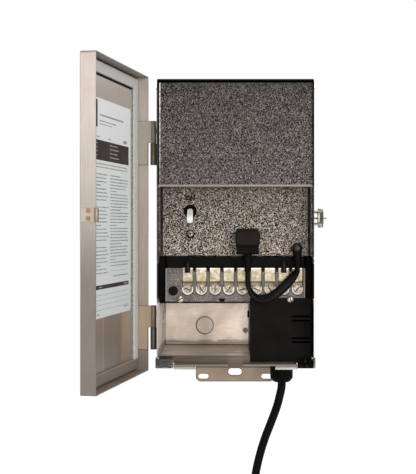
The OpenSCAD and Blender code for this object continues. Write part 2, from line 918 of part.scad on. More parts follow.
// Right angle relief: a flange on the panel, an elbow and a tapered nose pointing down
module cord_bushing() {
    nose_z = bushing_z - bushing_relief_l;
    color([0.09, 0.09, 0.09]) place() {
        rod_y(bushing_x, bushing_z, panel_back - bushing_flange_t, panel_back, bushing_flange_r);
        rod_y(bushing_x, bushing_z, panel_back, panel_back + sheet_t + over, bushing_nose_r);
        hull() {
            translate([bushing_x, lead_y + bushing_nose_r, bushing_z])
                sphere(bushing_nose_r + 1, $fn = 24);
            rod_y(bushing_x, bushing_z, panel_back - bushing_flange_t, panel_back, bushing_nose_r + 1,
                $fn = 24);
        }
        hull() {
            translate([bushing_x, lead_y + bushing_nose_r, bushing_z])
                sphere(bushing_nose_r, $fn = 24);
            translate([bushing_x, lead_y, nose_z]) linear_extrude(over / 2)
                scale([jumper_t + 1, jumper_w]) circle(d = 1, $fn = 24);
        }
    }
}

module jumper_cord() {
    color([0.07, 0.07, 0.07]) place()
        swept(jumper_route, jumper_w / 2, jumper_t / 2, jumper_sides, [0, 1, 0], jumper_rolls);
}

// Black tray round the terminals, open towards the front and the top
module terminal_bracket() {
    color([0.1, 0.1, 0.1]) place() {
        slab([-cover_side, base_back, bracket_low], [cover_side, base_back + bracket_t, base_top]);
        slab([-cover_side, bracket_front, bracket_low], [cover_side, base_back + bracket_t, strip_low]);
        for (side = [-1, 1]) {
            slab(
                [side > 0 ? cover_side - bracket_t : -cover_side, bracket_front, bracket_low],
                [side > 0 ? cover_side : -cover_side + bracket_t, base_back + bracket_t, base_top]
            );
            slab(
                [side > 0 ? cover_side - bracket_lip : -cover_side, bracket_front, bracket_low],
                [side > 0 ? cover_side : -cover_side + bracket_lip, bracket_front + bracket_t, base_top]
            );
        }
    }
}

function terminal_x(i) = row_left + window_w / 2 + i * terminal_pitch;
lug_screw_z = strip_top - lug_screw_drop;
pocket_low = strip_top - terminal_window_h;
tongue_front = strip_front + tongue_in;

// Outline of one window, open at its top and round below
module window_outline(w, top) {
    translate([0, pocket_low + w / 2]) circle(w / 2);
    translate([-w / 2, pocket_low + w / 2]) square([w, top - pocket_low - w / 2]);
}

module terminal_base() {
    color([0.09, 0.09, 0.1]) place() difference() {
        slab([-base_side, strip_back, strip_low + over], [base_side, base_back, base_top]);
        for (i = [0:terminal_count - 1]) {
            facing(strip_back - over, strip_back + pocket_d)
                translate([terminal_x(i), 0]) window_outline(window_w, strip_top + rub);
            rod_y(terminal_x(i), lug_screw_z, strip_back, strip_back + pocket_d + lug_shank_l,
                lug_shank_r + pin_fit);
        }
        for (side = [-1, 1])
            rod_y(side * plate_screw_x, strip_low + plate_screw_up, strip_back - over,
                strip_back + plate_shank_l, plate_shank_r + pin_fit);
        rod_y(hole_plug_x, strip_top - hole_plug_drop, strip_back - over, strip_back + 3 * over,
            hole_plug_stem_r + pin_fit);
    }
}

// Comb-shaped front plate with one open window to a terminal and a half-round release hole
module terminal_plate() {
    color([0.56, 0.52, 0.52]) place() difference() {
        union() {
            facing(strip_front + strip_bevel / 2, strip_back)
                round_rect([-strip_w / 2, strip_low], [strip_w / 2, strip_top], strip_bevel);
            facing(strip_front, strip_back)
                round_rect(
                    [-strip_w / 2 + strip_bevel, strip_low + strip_bevel],
                    [strip_w / 2 - strip_bevel, strip_top - strip_bevel],
                    strip_bevel
                );
        }
        for (i = [0:terminal_count - 1])
            facing(strip_front - over, strip_back + over)
                translate([terminal_x(i), 0]) window_outline(window_w, strip_top + over);
        for (side = [-1, 1])
            rod_y(side * plate_screw_x, strip_low + plate_screw_up, strip_front - over,
                strip_back + over, plate_shank_r + pin_fit);
        rod_y(hole_plug_x, strip_top - hole_plug_drop, strip_front - over, strip_back + over,
            hole_plug_stem_r + pin_fit);
        facing(strip_front - over, strip_back + over) translate([moon_x, strip_low + moon_up])
            intersection() {
                circle(moon_r);
                translate([-moon_r, -moon_r]) square([2 * moon_r, moon_r]);
            }
    }
}

// Bent clamps: a raised saddle above and a tongue under the screw
module terminal_clamps() {
    half = window_w / 2 - clamp_side;
    saddle_low = strip_top - clamp_step;
    color([0.8, 0.76, 0.58]) place()
        for (i = [0:terminal_count - 1])
            translate([terminal_x(i), 0]) difference() {
                union() {
                    across(-half, half) polygon([
                        [tongue_front - clamp_rise, strip_top],
                        [tongue_front - clamp_rise + clamp_t, strip_top],
                        [tongue_front - clamp_rise + clamp_t, saddle_low + clamp_t],
                        [tongue_front + clamp_t, saddle_low],
                        [tongue_front + clamp_t, lug_screw_z],
                        [tongue_front, lug_screw_z],
                        [tongue_front, saddle_low - rub],
                        [tongue_front - clamp_rise, saddle_low + clamp_t - rub]
                    ]);
                    facing(tongue_front, tongue_front + clamp_t)
                        translate([0, pocket_low + half + clamp_side]) circle(half);
                }
                rod_y(0, lug_screw_z, tongue_front - over, tongue_front + 2 * clamp_t, clamp_hole_r);
            }
}

// Slotted screws with square-edged washers, each turned a little differently
module terminal_screws() {
    color([0.85, 0.82, 0.72]) place()
        for (i = [0:terminal_count - 1])
            translate([terminal_x(i), 0, lug_screw_z]) {
                difference() {
                    rod_y(0, 0, tongue_front - washer_t - lug_head_t, tongue_front - washer_t / 2,
                        lug_screw_r);
                    translate([0, tongue_front - washer_t - lug_head_t])
                        rotate([0, 20 + 37 * i, 0])
                            cube([2 * lug_screw_r + over, 2 * lug_slot_d, lug_slot_w], center = true);
                }
                rod_y(0, 0, tongue_front - washer_t, tongue_front, washer_r);
                rod_y(0, 0, tongue_front - washer_t, strip_back + pocket_d + lug_shank_l - over,
                    lug_shank_r);
            }
}

// The two dome screws that hold the plate; the right one also holds the black cover
module plate_screws() {
    color("silver") place() {
        dome_screw(-plate_screw_x, strip_front, strip_low + plate_screw_up, plate_screw_r,
            plate_screw_h, plate_shank_r, plate_shank_l);
        dome_screw(plate_screw_x, shroud_front, strip_low + plate_screw_up, plate_screw_r,
            plate_screw_h, plate_shank_r, plate_shank_l);
    }
}

module hole_plug() {
    color([0.07, 0.07, 0.07]) place() {
        rod_y(hole_plug_x, strip_top - hole_plug_drop, strip_front - hole_plug_head, strip_front,
            hole_plug_r);
        rod_y(hole_plug_x, strip_top - hole_plug_drop, strip_front, strip_back + over,
            hole_plug_stem_r);
    }
}

stub_y = strip_back - stub_out;
stub_top = base_top - 2 * stub_r;

// Height of the winding's underside over one place across the box
function ring_under(x) = ring_z - sqrt(pow(ring_d / 2, 2) - x * x) - rub;

// Two sleeved leads that come out of the block and turn down into their clamps, and the
// plain leads that reach the other clamps from above
module tap_leads() {
    color([0.08, 0.08, 0.08]) place() {
        for (i = stub_places) {
            rod_y(terminal_x(i), stub_top, stub_y, strip_back, stub_r);
            translate([terminal_x(i), stub_y, stub_top]) sphere(stub_r);
            rod_z(terminal_x(i), stub_y, stub_top - stub_drop, stub_top, stub_r);
        }
        for (i = [0:terminal_count - 1])
            if (i != stub_places[0] && i != stub_places[1])
                let(x = terminal_x(i), x_end = x * lead_gather_share, last = len(lead_climb) - 1)
                    swept(
                        concat(
                            [for (p = lead_climb)
                                [p == lead_climb[last] ? (x + x_end) / 2 : x, p[0], base_top + p[1]]],
                            [for (p = lead_end) [x_end, p[0], ring_under(x_end) - p[1]]]
                        ),
                        lead_r, lead_r, coil_sides, [1, 0, 0]
                    );
    }
}

module ring_section(low_r, high_r, y0, y1, r) {
    translate([0, y1, ring_z]) rotate([90, 0, 0]) rotate_extrude()
        round_rect([low_r, 0], [high_r, y1 - y0], r);
}

// Strip-wound steel ring, square in section
module toroid_core() {
    inset = winding_t + core_fit;
    color([0.35, 0.36, 0.38]) place()
        ring_section(ring_bore_d / 2 + inset, ring_d / 2 - inset, ring_front + inset, ring_back - inset,
            core_fit);
}

// Taped copper windings all round the core
module toroid_winding() {
    color([0.75, 0.6, 0.2]) place() difference() {
        ring_section(ring_bore_d / 2, ring_d / 2, ring_front, ring_back, winding_t);
        ring_section(ring_bore_d / 2 + winding_t, ring_d / 2 - winding_t, ring_front + winding_t,
            ring_back - winding_t, core_fit);
    }
}

module toroid_pads() {
    color([0.1, 0.1, 0.1]) place()
        for (y = [ring_front - pad_t, ring_back])
            difference() {
                rod_y(0, ring_z, y, y + pad_t, ring_d / 2 - winding_t);
                rod_y(0, ring_z, y - over, y + pad_t + over, stud_r + pin_fit);
            }
}

// Dished steel washer with a raised rim
module toroid_washer() {
    front = ring_front - pad_t;
    color("silver") place() translate([0, front, ring_z]) rotate([90, 0, 0]) rotate_extrude() polygon([
        [stud_r + pin_fit, 0], [dish_r, 0], [dish_r, 2 * dish_t], [dish_r - dish_t, 2 * dish_t],
        [dish_r - 2 * dish_t, dish_t], [stud_r + pin_fit, dish_t]
    ]);
}

stud_front = ring_front - pad_t - dish_t - stud_nut_h - 2 * over;

module toroid_stud() {
    color("silver") place() rod_y(0, ring_z, stud_front, back_in, stud_r);
}

module toroid_nut() {
    front = ring_front - pad_t - dish_t;
    color("silver") place() difference() {
        translate([0, front, ring_z]) rotate([90, 0, 0]) cylinder(h = stud_nut_h, r = stud_nut_r, $fn = 6);
        rod_y(0, ring_z, front - stud_nut_h - over, front + over, stud_r + pin_fit);
    }
}

// Black folded cover that closes off the mains wiring, with four louvre slots
module compartment_cover() {
    color([0.08, 0.08, 0.08]) place() difference() {
        union() {
            slab([shroud_x, shroud_front, shroud_low], [half_in - rub, step_back, shroud_top]);
            slab([shroud_x, shroud_front, floor_z], [shroud_x + sheet_t, back_in, bracket_low - rub]);
        }
        for (drop = louvre_drops)
            facing(shroud_front - over, step_back + over)
                translate([louvre_x + louvre_l / 2, shroud_top - drop - louvre_h / 2])
                    slot_outline(louvre_l, louvre_h);
        rod_y(plate_screw_x, strip_low + plate_screw_up, shroud_front - over, step_back + over,
            plate_shank_r + pin_fit);
        rod_x(shroud_x - over, shroud_x + sheet_t + over, grommet_y, grommet_z, grommet_r - over);
    }
}

module cover_grommet() {
    color([0.05, 0.05, 0.05]) place() {
        rod_x(shroud_x - grommet_out, shroud_x, grommet_y, grommet_z, grommet_r);
        rod_x(shroud_x, shroud_x + sheet_t + over, grommet_y, grommet_z, grommet_r - over);
    }
}

// One screw beside the cover and one inside it, which holds the earth lead
module ground_screws() {
    color([0.3, 0.5, 0.3]) place()
        for (x = ground_xs) {
            rod_y(x, ground_z, back_in - ground_head_h, back_in, ground_head_r);
            rod_y(x, ground_z, back_in, box_d, lug_shank_r);
        }
}

floor_under = floor_z - sheet_t;
gland_joint = floor_under - gland_body_h;

// Threaded neck through the floor over a six-sided collar
module gland_body() {
    color([0.08, 0.08, 0.08]) place() {
        rod_z(gland_x, gland_y, floor_under, floor_z + gland_thread_h, gland_thread_r);
        translate([gland_x, gland_y, gland_joint])
            cylinder(h = gland_body_h, r = gland_r, $fn = 6);
    }
}

// Cap nut, straight above and tapered to the cord below
module gland_nut() {
    color([0.08, 0.08, 0.08]) place() translate([gland_x, gland_y]) rotate_extrude() polygon([
        [0, gland_joint], [gland_r, gland_joint], [gland_r, cord_route[0][2] + gland_taper_h],
        [gland_tip_r, cord_route[0][2]], [0, cord_route[0][2]]
    ]);
}

module gland_locknut() {
    color([0.08, 0.08, 0.08]) place() difference() {
        translate([gland_x, gland_y, floor_z]) cylinder(h = locknut_h, r = locknut_r, $fn = 6);
        rod_z(gland_x, gland_y, floor_z - over, floor_z + locknut_h + over, gland_thread_r + pin_fit);
    }
}

gland_top = floor_z + gland_thread_h;
earth_end = [ground_xs[1] + ground_head_r, back_in - lead_r - rub, ground_z];

// Mains leads from the gland up to the winding and across to the earth screw
module primary_leads() {
    color([0.1, 0.1, 0.1]) place() {
        for (side = [-0.5, 0.5])
            let(
                start = [gland_x + side * primary_gap, gland_y, gland_top],
                x_end = start[0] + primary_end[0],
                end = [x_end, gland_y + primary_end[1], ring_under(x_end)]
            )
                swept(
                    concat(
                        [for (step = primary_steps) start + step],
                        [end - [0, 0, primary_end_drop], end]
                    ),
                    lead_r, lead_r, coil_sides, [1, 0, 0]
                );
        swept(
            concat(
                [for (step = earth_steps) [gland_x, gland_y, gland_top] + step],
                [earth_end + [earth_end_l, 0, 0], earth_end]
            ),
            lead_r, lead_r, coil_sides, [0, 0, 1]
        );
    }
}

module power_cord() {
    color([0.06, 0.06, 0.06]) place()
        swept(cord_route, cord_d / 2, cord_d / 2, cord_sides, [0, 1, 0]);
}

module cord_coil() {
    color([0.06, 0.06, 0.06]) place()
        swept(coil_path, cord_d / 2, cord_d / 2, coil_sides, [0, 1, 0]);
}

// Strap round the four strands on the far side of the coil
module coil_tie() {
    half = (turn_pitch + cord_d) / 2 + tie_clear;
    color([0.12, 0.12, 0.12]) place()
        translate([coil_x - coil_r + turn_pitch, coil_y + turn_pitch / 2, coil_z - tie_w / 2])
            linear_extrude(tie_w) difference() {
                round_rect([-half - tie_t, -half - tie_t], [half + tie_t, half + tie_t], cord_d / 2);
                round_rect([-half, -half], [half, half], cord_d / 2 - tie_t);
            }
}

module plug_tail() {
    color([0.06, 0.06, 0.06]) place()
        swept([coil_tail, (coil_tail + plug_start) / 2, plug_start], cord_d / 2, cord_d / 2, cord_sides,
            [0, 1, 0]);
}

// Moulded three-pin plug hanging from the tail, with a tapered relief above it
module power_plug() {
    color([0.06, 0.06, 0.06]) place() translate(plug_start) {
        hull() {
            translate([0, 0, -over / 2]) cylinder(h = over / 2, d = cord_d + 1, $fn = 24);
            translate([0, 0, -plug_relief_l]) cylinder(h = over, r = cord_d * 0.85, $fn = 24);
        }
        hull()
            for (x = [-1, 1], y = [-1, 1])
                translate([
                    x * (plug_body_w / 2 - plug_round), y * (plug_body_t / 2 - plug_round),
                    -plug_relief_l - plug_body_l
                ]) cylinder(h = plug_body_l, r1 = plug_round, r2 = plug_round / 2, $fn = 24);
    }
}

module power_blades() {
    low = plug_start[2] - plug_relief_l - plug_body_l;
    color("gold") place() translate([plug_start[0], plug_start[1], 0]) {
        for (side = [-1, 1])
            slab(
                [side * blade_gap / 2 - blade_t / 2, -blade_w / 2 - prong_shift, low - mains_blade_l],
                [side * blade_gap / 2 + blade_t / 2, blade_w / 2 - prong_shift, low]
            );
        rod_z(0, ground_drop - prong_shift, low - mains_ground_l, low, ground_r);
    }
}

hinge_split = knuckle_gap / 2;

module box_hinge_leaves() {
    color("silver") place()
        for (z = hinge_zs) translate([0, 0, z]) difference() {
            union() {
                rod_z(hinge_x, hinge_back, -hinge_h / 2, -hinge_split, knuckle_r);
                slab(
                    [hinge_x + knuckle_r - leaf_t, hinge_back, -hinge_h / 2],
                    [-half_w, hinge_back + knuckle_r + over, -hinge_split]
                );
                slab(
                    [-half_w - leaf_t, hinge_back + knuckle_r, -hinge_h / 2],
                    [-half_w, hinge_back + leaf_reach, hinge_h / 2]
                );
            }
            rod_z(hinge_x, hinge_back, -hinge_h / 2 - over, hinge_h / 2, hinge_pin_r);
            hinge_rivet_holes();
        }
}

module hinge_rivet_holes() {
    for (share = [-hinge_rivet_share, hinge_rivet_share])
        rod_x(-half_w - leaf_t - over, -half_w + over, hinge_back + leaf_reach * 0.62,
            share * hinge_h, hinge_rivet_r);
}

// Pins pressed in the lower knuckles, standing up for the door to drop on
module hinge_pins() {
    color("silver") place()
        for (z = hinge_zs)
            rod_z(hinge_x, hinge_back, z - hinge_h / 2, z + hinge_h / 2 - over, hinge_pin_r);
}

module hinge_rivets() {
    color("silver") place()
        for (z = hinge_zs, share = [-hinge_rivet_share, hinge_rivet_share])
            translate([0, hinge_back + leaf_reach * 0.62, z + share * hinge_h]) {
                rod_x(-half_w - leaf_t, -half_w, 0, 0, hinge_rivet_r);
                rod_x(-half_w - leaf_t - hinge_rivet_head, -half_w - leaf_t, 0, 0,
                    hinge_rivet_r * 1.7);
            }
}

module door_hinge_leaves() {
    color("silver") swung()
        for (z = hinge_zs) translate([0, 0, z]) difference() {
            union() {
                rod_z(hinge_x, hinge_back, hinge_split, hinge_h / 2, knuckle_r);
                slab(
                    [-pan_in_x, pan_inner, hinge_split],
                    [-pan_in_x + leaf_t, hinge_back, hinge_h / 2]
                );
                slab(
                    [-pan_in_x, pan_inner, -hinge_h / 2],
                    [-pan_in_x + leaf_t, pan_lip, hinge_h / 2]
                );
            }
            rod_z(hinge_x, hinge_back, -over, hinge_h / 2 + over, hinge_pin_r + pin_fit);
        }
}

// Shallow folded pan with its four flanges, closed over the front of the box
module door_pan() {
    outer = [pan_in_x + sheet_t, pan_in_z + sheet_t];
    inner = [pan_in_x, pan_in_z];
    color([0.75, 0.72, 0.7]) swung() difference() {
        facing(pan_front, pan_lip) round_rect(-outer, outer, pan_bend);
        facing(pan_inner, pan_lip + over) round_rect(-inner, inner, pan_bend - sheet_t);
        for (side = [-0.5, 0.5])
            rod_x(pan_in_x - over, keeper_x + over, keeper_rivet_y,
                keeper_rivet_z + side * keeper_rivet_gap, keeper_rivet_r);
    }
}

module door_gasket() {
    outer = [pan_in_x - gasket_edge, pan_in_z - gasket_edge];
    inner = outer - [gasket_w, gasket_w];
    color([0.72, 0.72, 0.7]) swung() difference() {
        facing(pan_inner, pan_inner + gasket_t) round_rect(-outer, outer, sheet_t);
        facing(pan_inner - over, pan_inner + gasket_t + over)
            translate(-inner) square(2 * inner);
    }
}

module instruction_label() {
    color("white") swung()
        facing(pan_inner, pan_inner + label_t)
            translate([-label_w / 2, label_up - label_h / 2]) square([label_w, label_h]);
}

// Strike on the door's free flange, with a curl over its edge for the bail to pull on
module keeper() {
    y0 = pan_lip - keeper_l + keeper_curl_r / 2;
    curl_y = y0 + keeper_l;
    curl_x = keeper_x + keeper_curl_r;
    color("silver") swung() difference() {
        upright(keeper_z - keeper_w / 2, keeper_z + keeper_w / 2) {
            translate([keeper_x, y0]) square([keeper_t, keeper_l]);
            difference() {
                translate([curl_x, curl_y]) circle(keeper_curl_r);
                translate([curl_x, curl_y]) circle(keeper_curl_r - keeper_t);
                translate([curl_x, curl_y - keeper_curl_r - over])
                    square([keeper_curl_r + over, keeper_curl_r + over - keeper_t]);
            }
        }
        for (side = [-0.5, 0.5])
            rod_x(keeper_x - over, keeper_x + keeper_t + over, keeper_rivet_y,
                keeper_rivet_z + side * keeper_rivet_gap, keeper_rivet_r);
    }
}

module keeper_rivets() {
    color([0.3, 0.28, 0.26]) swung()
        for (side = [-0.5, 0.5])
            translate([0, keeper_rivet_y, keeper_rivet_z + side * keeper_rivet_gap]) {
                rod_x(pan_in_x, keeper_x + keeper_t, 0, 0, keeper_rivet_r);
                rod_x(keeper_x + keeper_t, keeper_x + keeper_t + keeper_rivet_head, 0, 0,
                    keeper_rivet_r * 1.5);
            }
}

ear_z = latch_h / 2;
latch_back = latch_front + latch_l;

module latch_rivet_places() {
    for (y = [latch_front + latch_l * 0.42, latch_front + latch_l * 0.78])
        translate([0, y, latch_z]) children();
}

// Latch base with two ears for the lever and a staple for a padlock
module latch_base() {
    color("silver") place() difference() {
        union() {
            translate([half_w, 0, latch_z]) rotate([0, 90, 0]) linear_extrude(latch_t)
                round_rect([-ear_z, latch_front], [ear_z, latch_back], latch_t);
            for (side = [-1, 1])
                upright(
                    latch_z + (side > 0 ? ear_z - latch_t : -ear_z),
                    latch_z + (side > 0 ? ear_z : -ear_z + latch_t)
                )
                    round_rect(
                        [half_w, latch_front + over], [half_w + ear_out, latch_front + over + ear_l],
                        latch_t
                    );
            upright(latch_z - staple_t / 2, latch_z + staple_t / 2)
                round_rect(
                    [half_w, staple_y - staple_w / 2], [half_w + staple_out, staple_y + staple_w / 2],
                    2 * latch_t
                );
        }
        rod_z(half_w + lever_pivot_out, lever_pivot_y, latch_z - latch_h, latch_z + latch_h, lever_pin_r);
        rod_z(half_w + staple_out - staple_w / 2, staple_y, latch_z - latch_h, latch_z + latch_h,
            staple_hole_r);
        latch_rivet_places() rod_x(half_w - over, half_w + latch_t + over, 0, 0, latch_rivet_r);
    }
}

module latch_rivets() {
    color("silver") place() latch_rivet_places() {
        rod_x(half_w, half_w + latch_t, 0, 0, latch_rivet_r);
        rod_x(half_w + latch_t, half_w + latch_t + latch_rivet_head, 0, 0, latch_rivet_r * 1.6);
    }
}

module latch_pin() {
    color("silver") place()
        rod_z(half_w + lever_pivot_out, lever_pivot_y, latch_z - ear_z - rub / 2,
            latch_z + ear_z + rub / 2, lever_pin_r);
}

lever_half = ear_z - latch_t - rub;
lever_out = half_w + latch_out;

// Channel-shaped lever with a turned-out tail and a slot for the staple
module latch_lever() {
    pivot_x = half_w + lever_pivot_out;
    bend_y = lever_pivot_y + lever_tail * lever_bend_share;
    tail_y = lever_pivot_y + lever_tail;
    color("silver") place() difference() {
        union() {
            upright(latch_z - lever_half, latch_z + lever_half) polygon([
                [lever_out - lever_t, lever_pivot_y], [lever_out, lever_pivot_y],
                [lever_out, bend_y], [lever_out + lever_lip, tail_y],
                [lever_out + lever_lip - lever_t, tail_y], [lever_out - lever_t, bend_y]
            ]);
            for (side = [-1, 1])
                upright(
                    latch_z + (side > 0 ? lever_half - lever_t : -lever_half),
                    latch_z + (side > 0 ? lever_half : -lever_half + lever_t)
                ) {
                    translate([pivot_x, lever_pivot_y]) circle(lever_end_r);
                    polygon([
                        [pivot_x - lever_end_r, lever_pivot_y], [lever_out, lever_pivot_y],
                        [lever_out, bend_y], [lever_out - lever_t, bend_y],
                        [pivot_x - lever_end_r, bail_pivot_y + 3 * bail_r]
                    ]);
                }
        }
        rod_z(pivot_x, lever_pivot_y, latch_z - latch_h, latch_z + latch_h, lever_pin_r + pin_fit);
        rod_z(half_w + bail_pivot_out, bail_pivot_y, latch_z - latch_h, latch_z + latch_h,
            bail_r + pin_fit);
        slab(
            [half_w, staple_y - staple_w / 2 - staple_room, latch_z - staple_t],
            [lever_out + lever_lip + over, staple_y + staple_w / 2 + staple_room, latch_z + staple_t]
        );
    }
}

// Wire loop whose ends turn in through the lever's sides
module latch_bail() {
    bend = 2 * bail_r;
    color("silver") place()
        translate([half_w + bail_pivot_out, bail_pivot_y, latch_z]) rotate([0, 0, -bail_lean]) {
            for (side = [-1, 1]) mirror([0, 0, side > 0 ? 0 : 1]) {
                rod_z(0, 0, lever_half - lever_t, bail_half_h, bail_r);
                translate([0, 0, bail_half_h]) sphere(bail_r);
                rod_y(0, bail_half_h, 0, bail_l - bend, bail_r);
                translate([0, bail_l - bend, bail_half_h - bend]) rotate([90, 0, 90])
                    rotate_extrude(angle = 90) translate([bend, 0]) circle(bail_r);
            }
            rod_z(0, bail_l, -bail_half_h + bend, bail_half_h - bend, bail_r);
        }
}

enclosure_shell();
top_panel();
floor_panel();
upper_mount_tab();
lower_mount_tab();
tab_rivets();
transformer_cover();
control_panel();
panel_screw();
breaker_body();
breaker_nut();
toggle_lever();
receptacle();
cord_bushing();
terminal_bracket();
terminal_base();
terminal_plate();
terminal_clamps();
terminal_screws();
plate_screws();
hole_plug();
tap_leads();
toroid_core();
toroid_winding();
toroid_pads();
toroid_washer();
toroid_stud();
toroid_nut();
compartment_cover();
cover_grommet();
ground_screws();
gland_body();
gland_nut();
gland_locknut();
primary_leads();
power_cord();
cord_coil();
coil_tie();
plug_tail();
power_plug();
power_blades();
jumper_cord();
jumper_plug();
jumper_blades();
box_hinge_leaves();
hinge_pins();
hinge_rivets();
latch_base();
latch_rivets();
latch_pin();
latch_lever();
latch_bail();
door_pan();
door_gasket();
instruction_label();
door_hinge_leaves();
keeper();
keeper_rivets();
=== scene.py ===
import math
from functools import reduce

import bmesh
import bpy
from mathutils import Matrix, Vector


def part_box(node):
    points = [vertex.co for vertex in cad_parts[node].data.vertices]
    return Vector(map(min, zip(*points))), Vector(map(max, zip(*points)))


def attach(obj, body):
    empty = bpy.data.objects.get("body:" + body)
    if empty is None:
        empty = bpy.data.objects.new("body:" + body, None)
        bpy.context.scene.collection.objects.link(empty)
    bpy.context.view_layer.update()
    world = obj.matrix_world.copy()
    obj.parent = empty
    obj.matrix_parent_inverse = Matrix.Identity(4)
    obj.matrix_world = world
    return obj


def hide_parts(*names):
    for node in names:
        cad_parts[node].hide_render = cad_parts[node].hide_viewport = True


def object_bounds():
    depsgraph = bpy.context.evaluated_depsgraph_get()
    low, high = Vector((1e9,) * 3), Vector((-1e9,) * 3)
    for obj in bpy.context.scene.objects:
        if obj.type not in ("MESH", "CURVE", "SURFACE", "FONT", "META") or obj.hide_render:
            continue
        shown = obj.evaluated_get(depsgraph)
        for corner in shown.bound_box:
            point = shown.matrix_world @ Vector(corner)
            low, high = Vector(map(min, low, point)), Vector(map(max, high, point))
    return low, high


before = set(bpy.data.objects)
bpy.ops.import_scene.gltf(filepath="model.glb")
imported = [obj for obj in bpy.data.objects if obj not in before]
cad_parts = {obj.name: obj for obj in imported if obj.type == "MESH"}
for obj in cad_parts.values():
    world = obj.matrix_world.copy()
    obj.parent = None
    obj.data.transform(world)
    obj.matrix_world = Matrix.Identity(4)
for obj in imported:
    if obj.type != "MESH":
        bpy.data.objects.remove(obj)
cad_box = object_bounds()


# Camera
# Stands square in front of the open box, level, at the height of the control panel.
# Its lens is shifted a little, so the walls and the roof stay upright in the picture.
photo_size = (416, 474)
axis_px = (231.18, 225.99)
focal_px = 1033.56
sensor_mm = 36
camera_data = bpy.data.cameras.new("camera")
camera_data.sensor_fit = "VERTICAL"
camera_data.sensor_height = sensor_mm
camera_data.lens = focal_px * sensor_mm / photo_size[1]
camera_data.shift_x = (photo_size[0] / 2 - axis_px[0]) / photo_size[1]
camera_data.shift_y = (axis_px[1] - photo_size[1] / 2) / photo_size[1]
camera = bpy.data.objects.new("camera", camera_data)
camera.location = (-0.00496, -1.34527, 0.19534)
camera.rotation_euler = (math.radians(90), 0, 0)
bpy.context.scene.collection.objects.link(camera)
bpy.context.scene.camera = camera
bpy.context.scene.view_settings.view_transform = "Standard"


# Studio
# A pale floor under a white surround, with soft lamps in front on both sides and above.
# Cameras, reflections and clear pieces see plain white; the object is lit a little lower.
def tone(red, green, blue):
    """A colour as read off a picture, from 0 to 255, as Blender's linear colour."""
    shares = [value / 255 for value in (red, green, blue)]
    return tuple(s / 12.92 if s <= 0.04045 else ((s + 0.055) / 1.055) ** 2.4 for s in shares) + (1,)


def add(tree, kind, inputs=None, **settings):
    """One shader node; an input is a plain value or another node's output."""
    made = tree.nodes.new("ShaderNode" + kind)
    for name, value in settings.items():
        setattr(made, name, value)
    for name, value in (inputs or {}).items():
        if isinstance(value, bpy.types.NodeSocket):
            tree.links.new(value, made.inputs[name])
        else:
            made.inputs[name].default_value = value
    return made


def seen_directly(tree):
    """1 for what the camera sees by itself, in a reflection or through a clear piece."""
    rays = add(tree, "LightPath").outputs
    seen = rays["Is Camera Ray"]
    for name in ("Is Glossy Ray", "Is Transmission Ray"):
        seen = add(tree, "Math", {0: seen, 1: rays[name]}, operation="MAXIMUM").outputs[0]
    return seen


surround = 0.55
white = (1, 1, 1, 1)
world = bpy.data.worlds.new("surround")
world.use_nodes = True
bpy.context.scene.world = world
tree = world.node_tree
tree.nodes.clear()
dim = add(tree, "Background", {"Color": white, "Strength": surround})
full = add(tree, "Background", {"Color": white, "Strength": 1.0})
mixed = add(tree, "MixShader", {0: seen_directly(tree), 1: dim.outputs[0], 2: full.outputs[0]})
add(tree, "OutputWorld", {"Surface": mixed.outputs[0]})

middle = (cad_box[0] + cad_box[1]) / 2
lamps = {
    "left_lamp": ((-1.0, -2.0, 1.1), 1.3, 6),
    "right_lamp": ((1.3, -1.8, 0.6), 1.0, 19),
    "front_lamp": ((0.15, -2.4, 0.2), 0.8, 12),
    "top_lamp": ((0.1, -0.5, 1.9), 1.0, 5),
}
for name, (place, width, watts) in lamps.items():
    light = bpy.data.lights.new(name, "AREA")
    light.size = width
    light.energy = watts
    lamp = bpy.data.objects.new(name, light)
    lamp.location = place
    lamp.rotation_euler = (middle - lamp.location).to_track_quat("-Z", "Y").to_euler()
    bpy.context.scene.collection.objects.link(lamp)

floor_drop = 0.006
floor_reach = 40
floor_z = cad_box[0].z - floor_drop
floor_mesh = bpy.data.meshes.new("floor")
floor_mesh.from_pydata(
    [(x * floor_reach, y * floor_reach, floor_z) for x, y in ((-1, -1), (1, -1), (1, 1), (-1, 1))],
    [],
    [(0, 1, 2, 3)],
)
floor = bpy.data.objects.new("floor", floor_mesh)
bpy.context.scene.collection.objects.link(floor)
paper = bpy.data.materials.new("floor_paper")
paper.use_nodes = True
tree = paper.node_tree
tree.nodes.clear()
glow_share = 0.74
paper_grey = 0.6
glow = add(tree, "Math", {0: seen_directly(tree), 1: glow_share}, operation="MULTIPLY")
matt = add(tree, "BsdfDiffuse", {"Color": (paper_grey, paper_grey, paper_grey, 1)})
lit = add(tree, "Emission", {"Color": white, "Strength": glow.outputs[0]})
summed = add(tree, "AddShader", {0: matt.outputs[0], 1: lit.outputs[0]})
add(tree, "OutputMaterial", {"Surface": summed.outputs[0]})
floor_mesh.materials.append(paper)


# Mains cord
# Round three-wire service cord with a smooth black rubber jacket. It hangs from the gland,
# and the length that the picture doesn't show is wound into a coil and tied.
wall_depth = 139
slot_height = -198


def spot(x, depth, z):
    """A place given in millimetres from the middle of the box's front edges, in the frame."""
    return Vector((x, depth - wall_depth, z - slot_height)) / 1000


def shaded(colour, share):
    return tuple(c * share for c in tone(*colour)[:3]) + (1,)


def as_colour(value):
    """A colour from a grey share or from a tone of three numbers; others stay as they are."""
    if isinstance(value, (int, float)):
        return (value, value, value, 1)
    return tone(*value) if isinstance(value, tuple) and len(value) == 3 else value


def node(kind, inputs, **settings):
    """A shader node in the tree of the outputs that it takes."""
    outputs = [value for value in inputs.values() if isinstance(value, bpy.types.NodeSocket)]
    return add(outputs[0].id_data, kind, inputs, **settings)


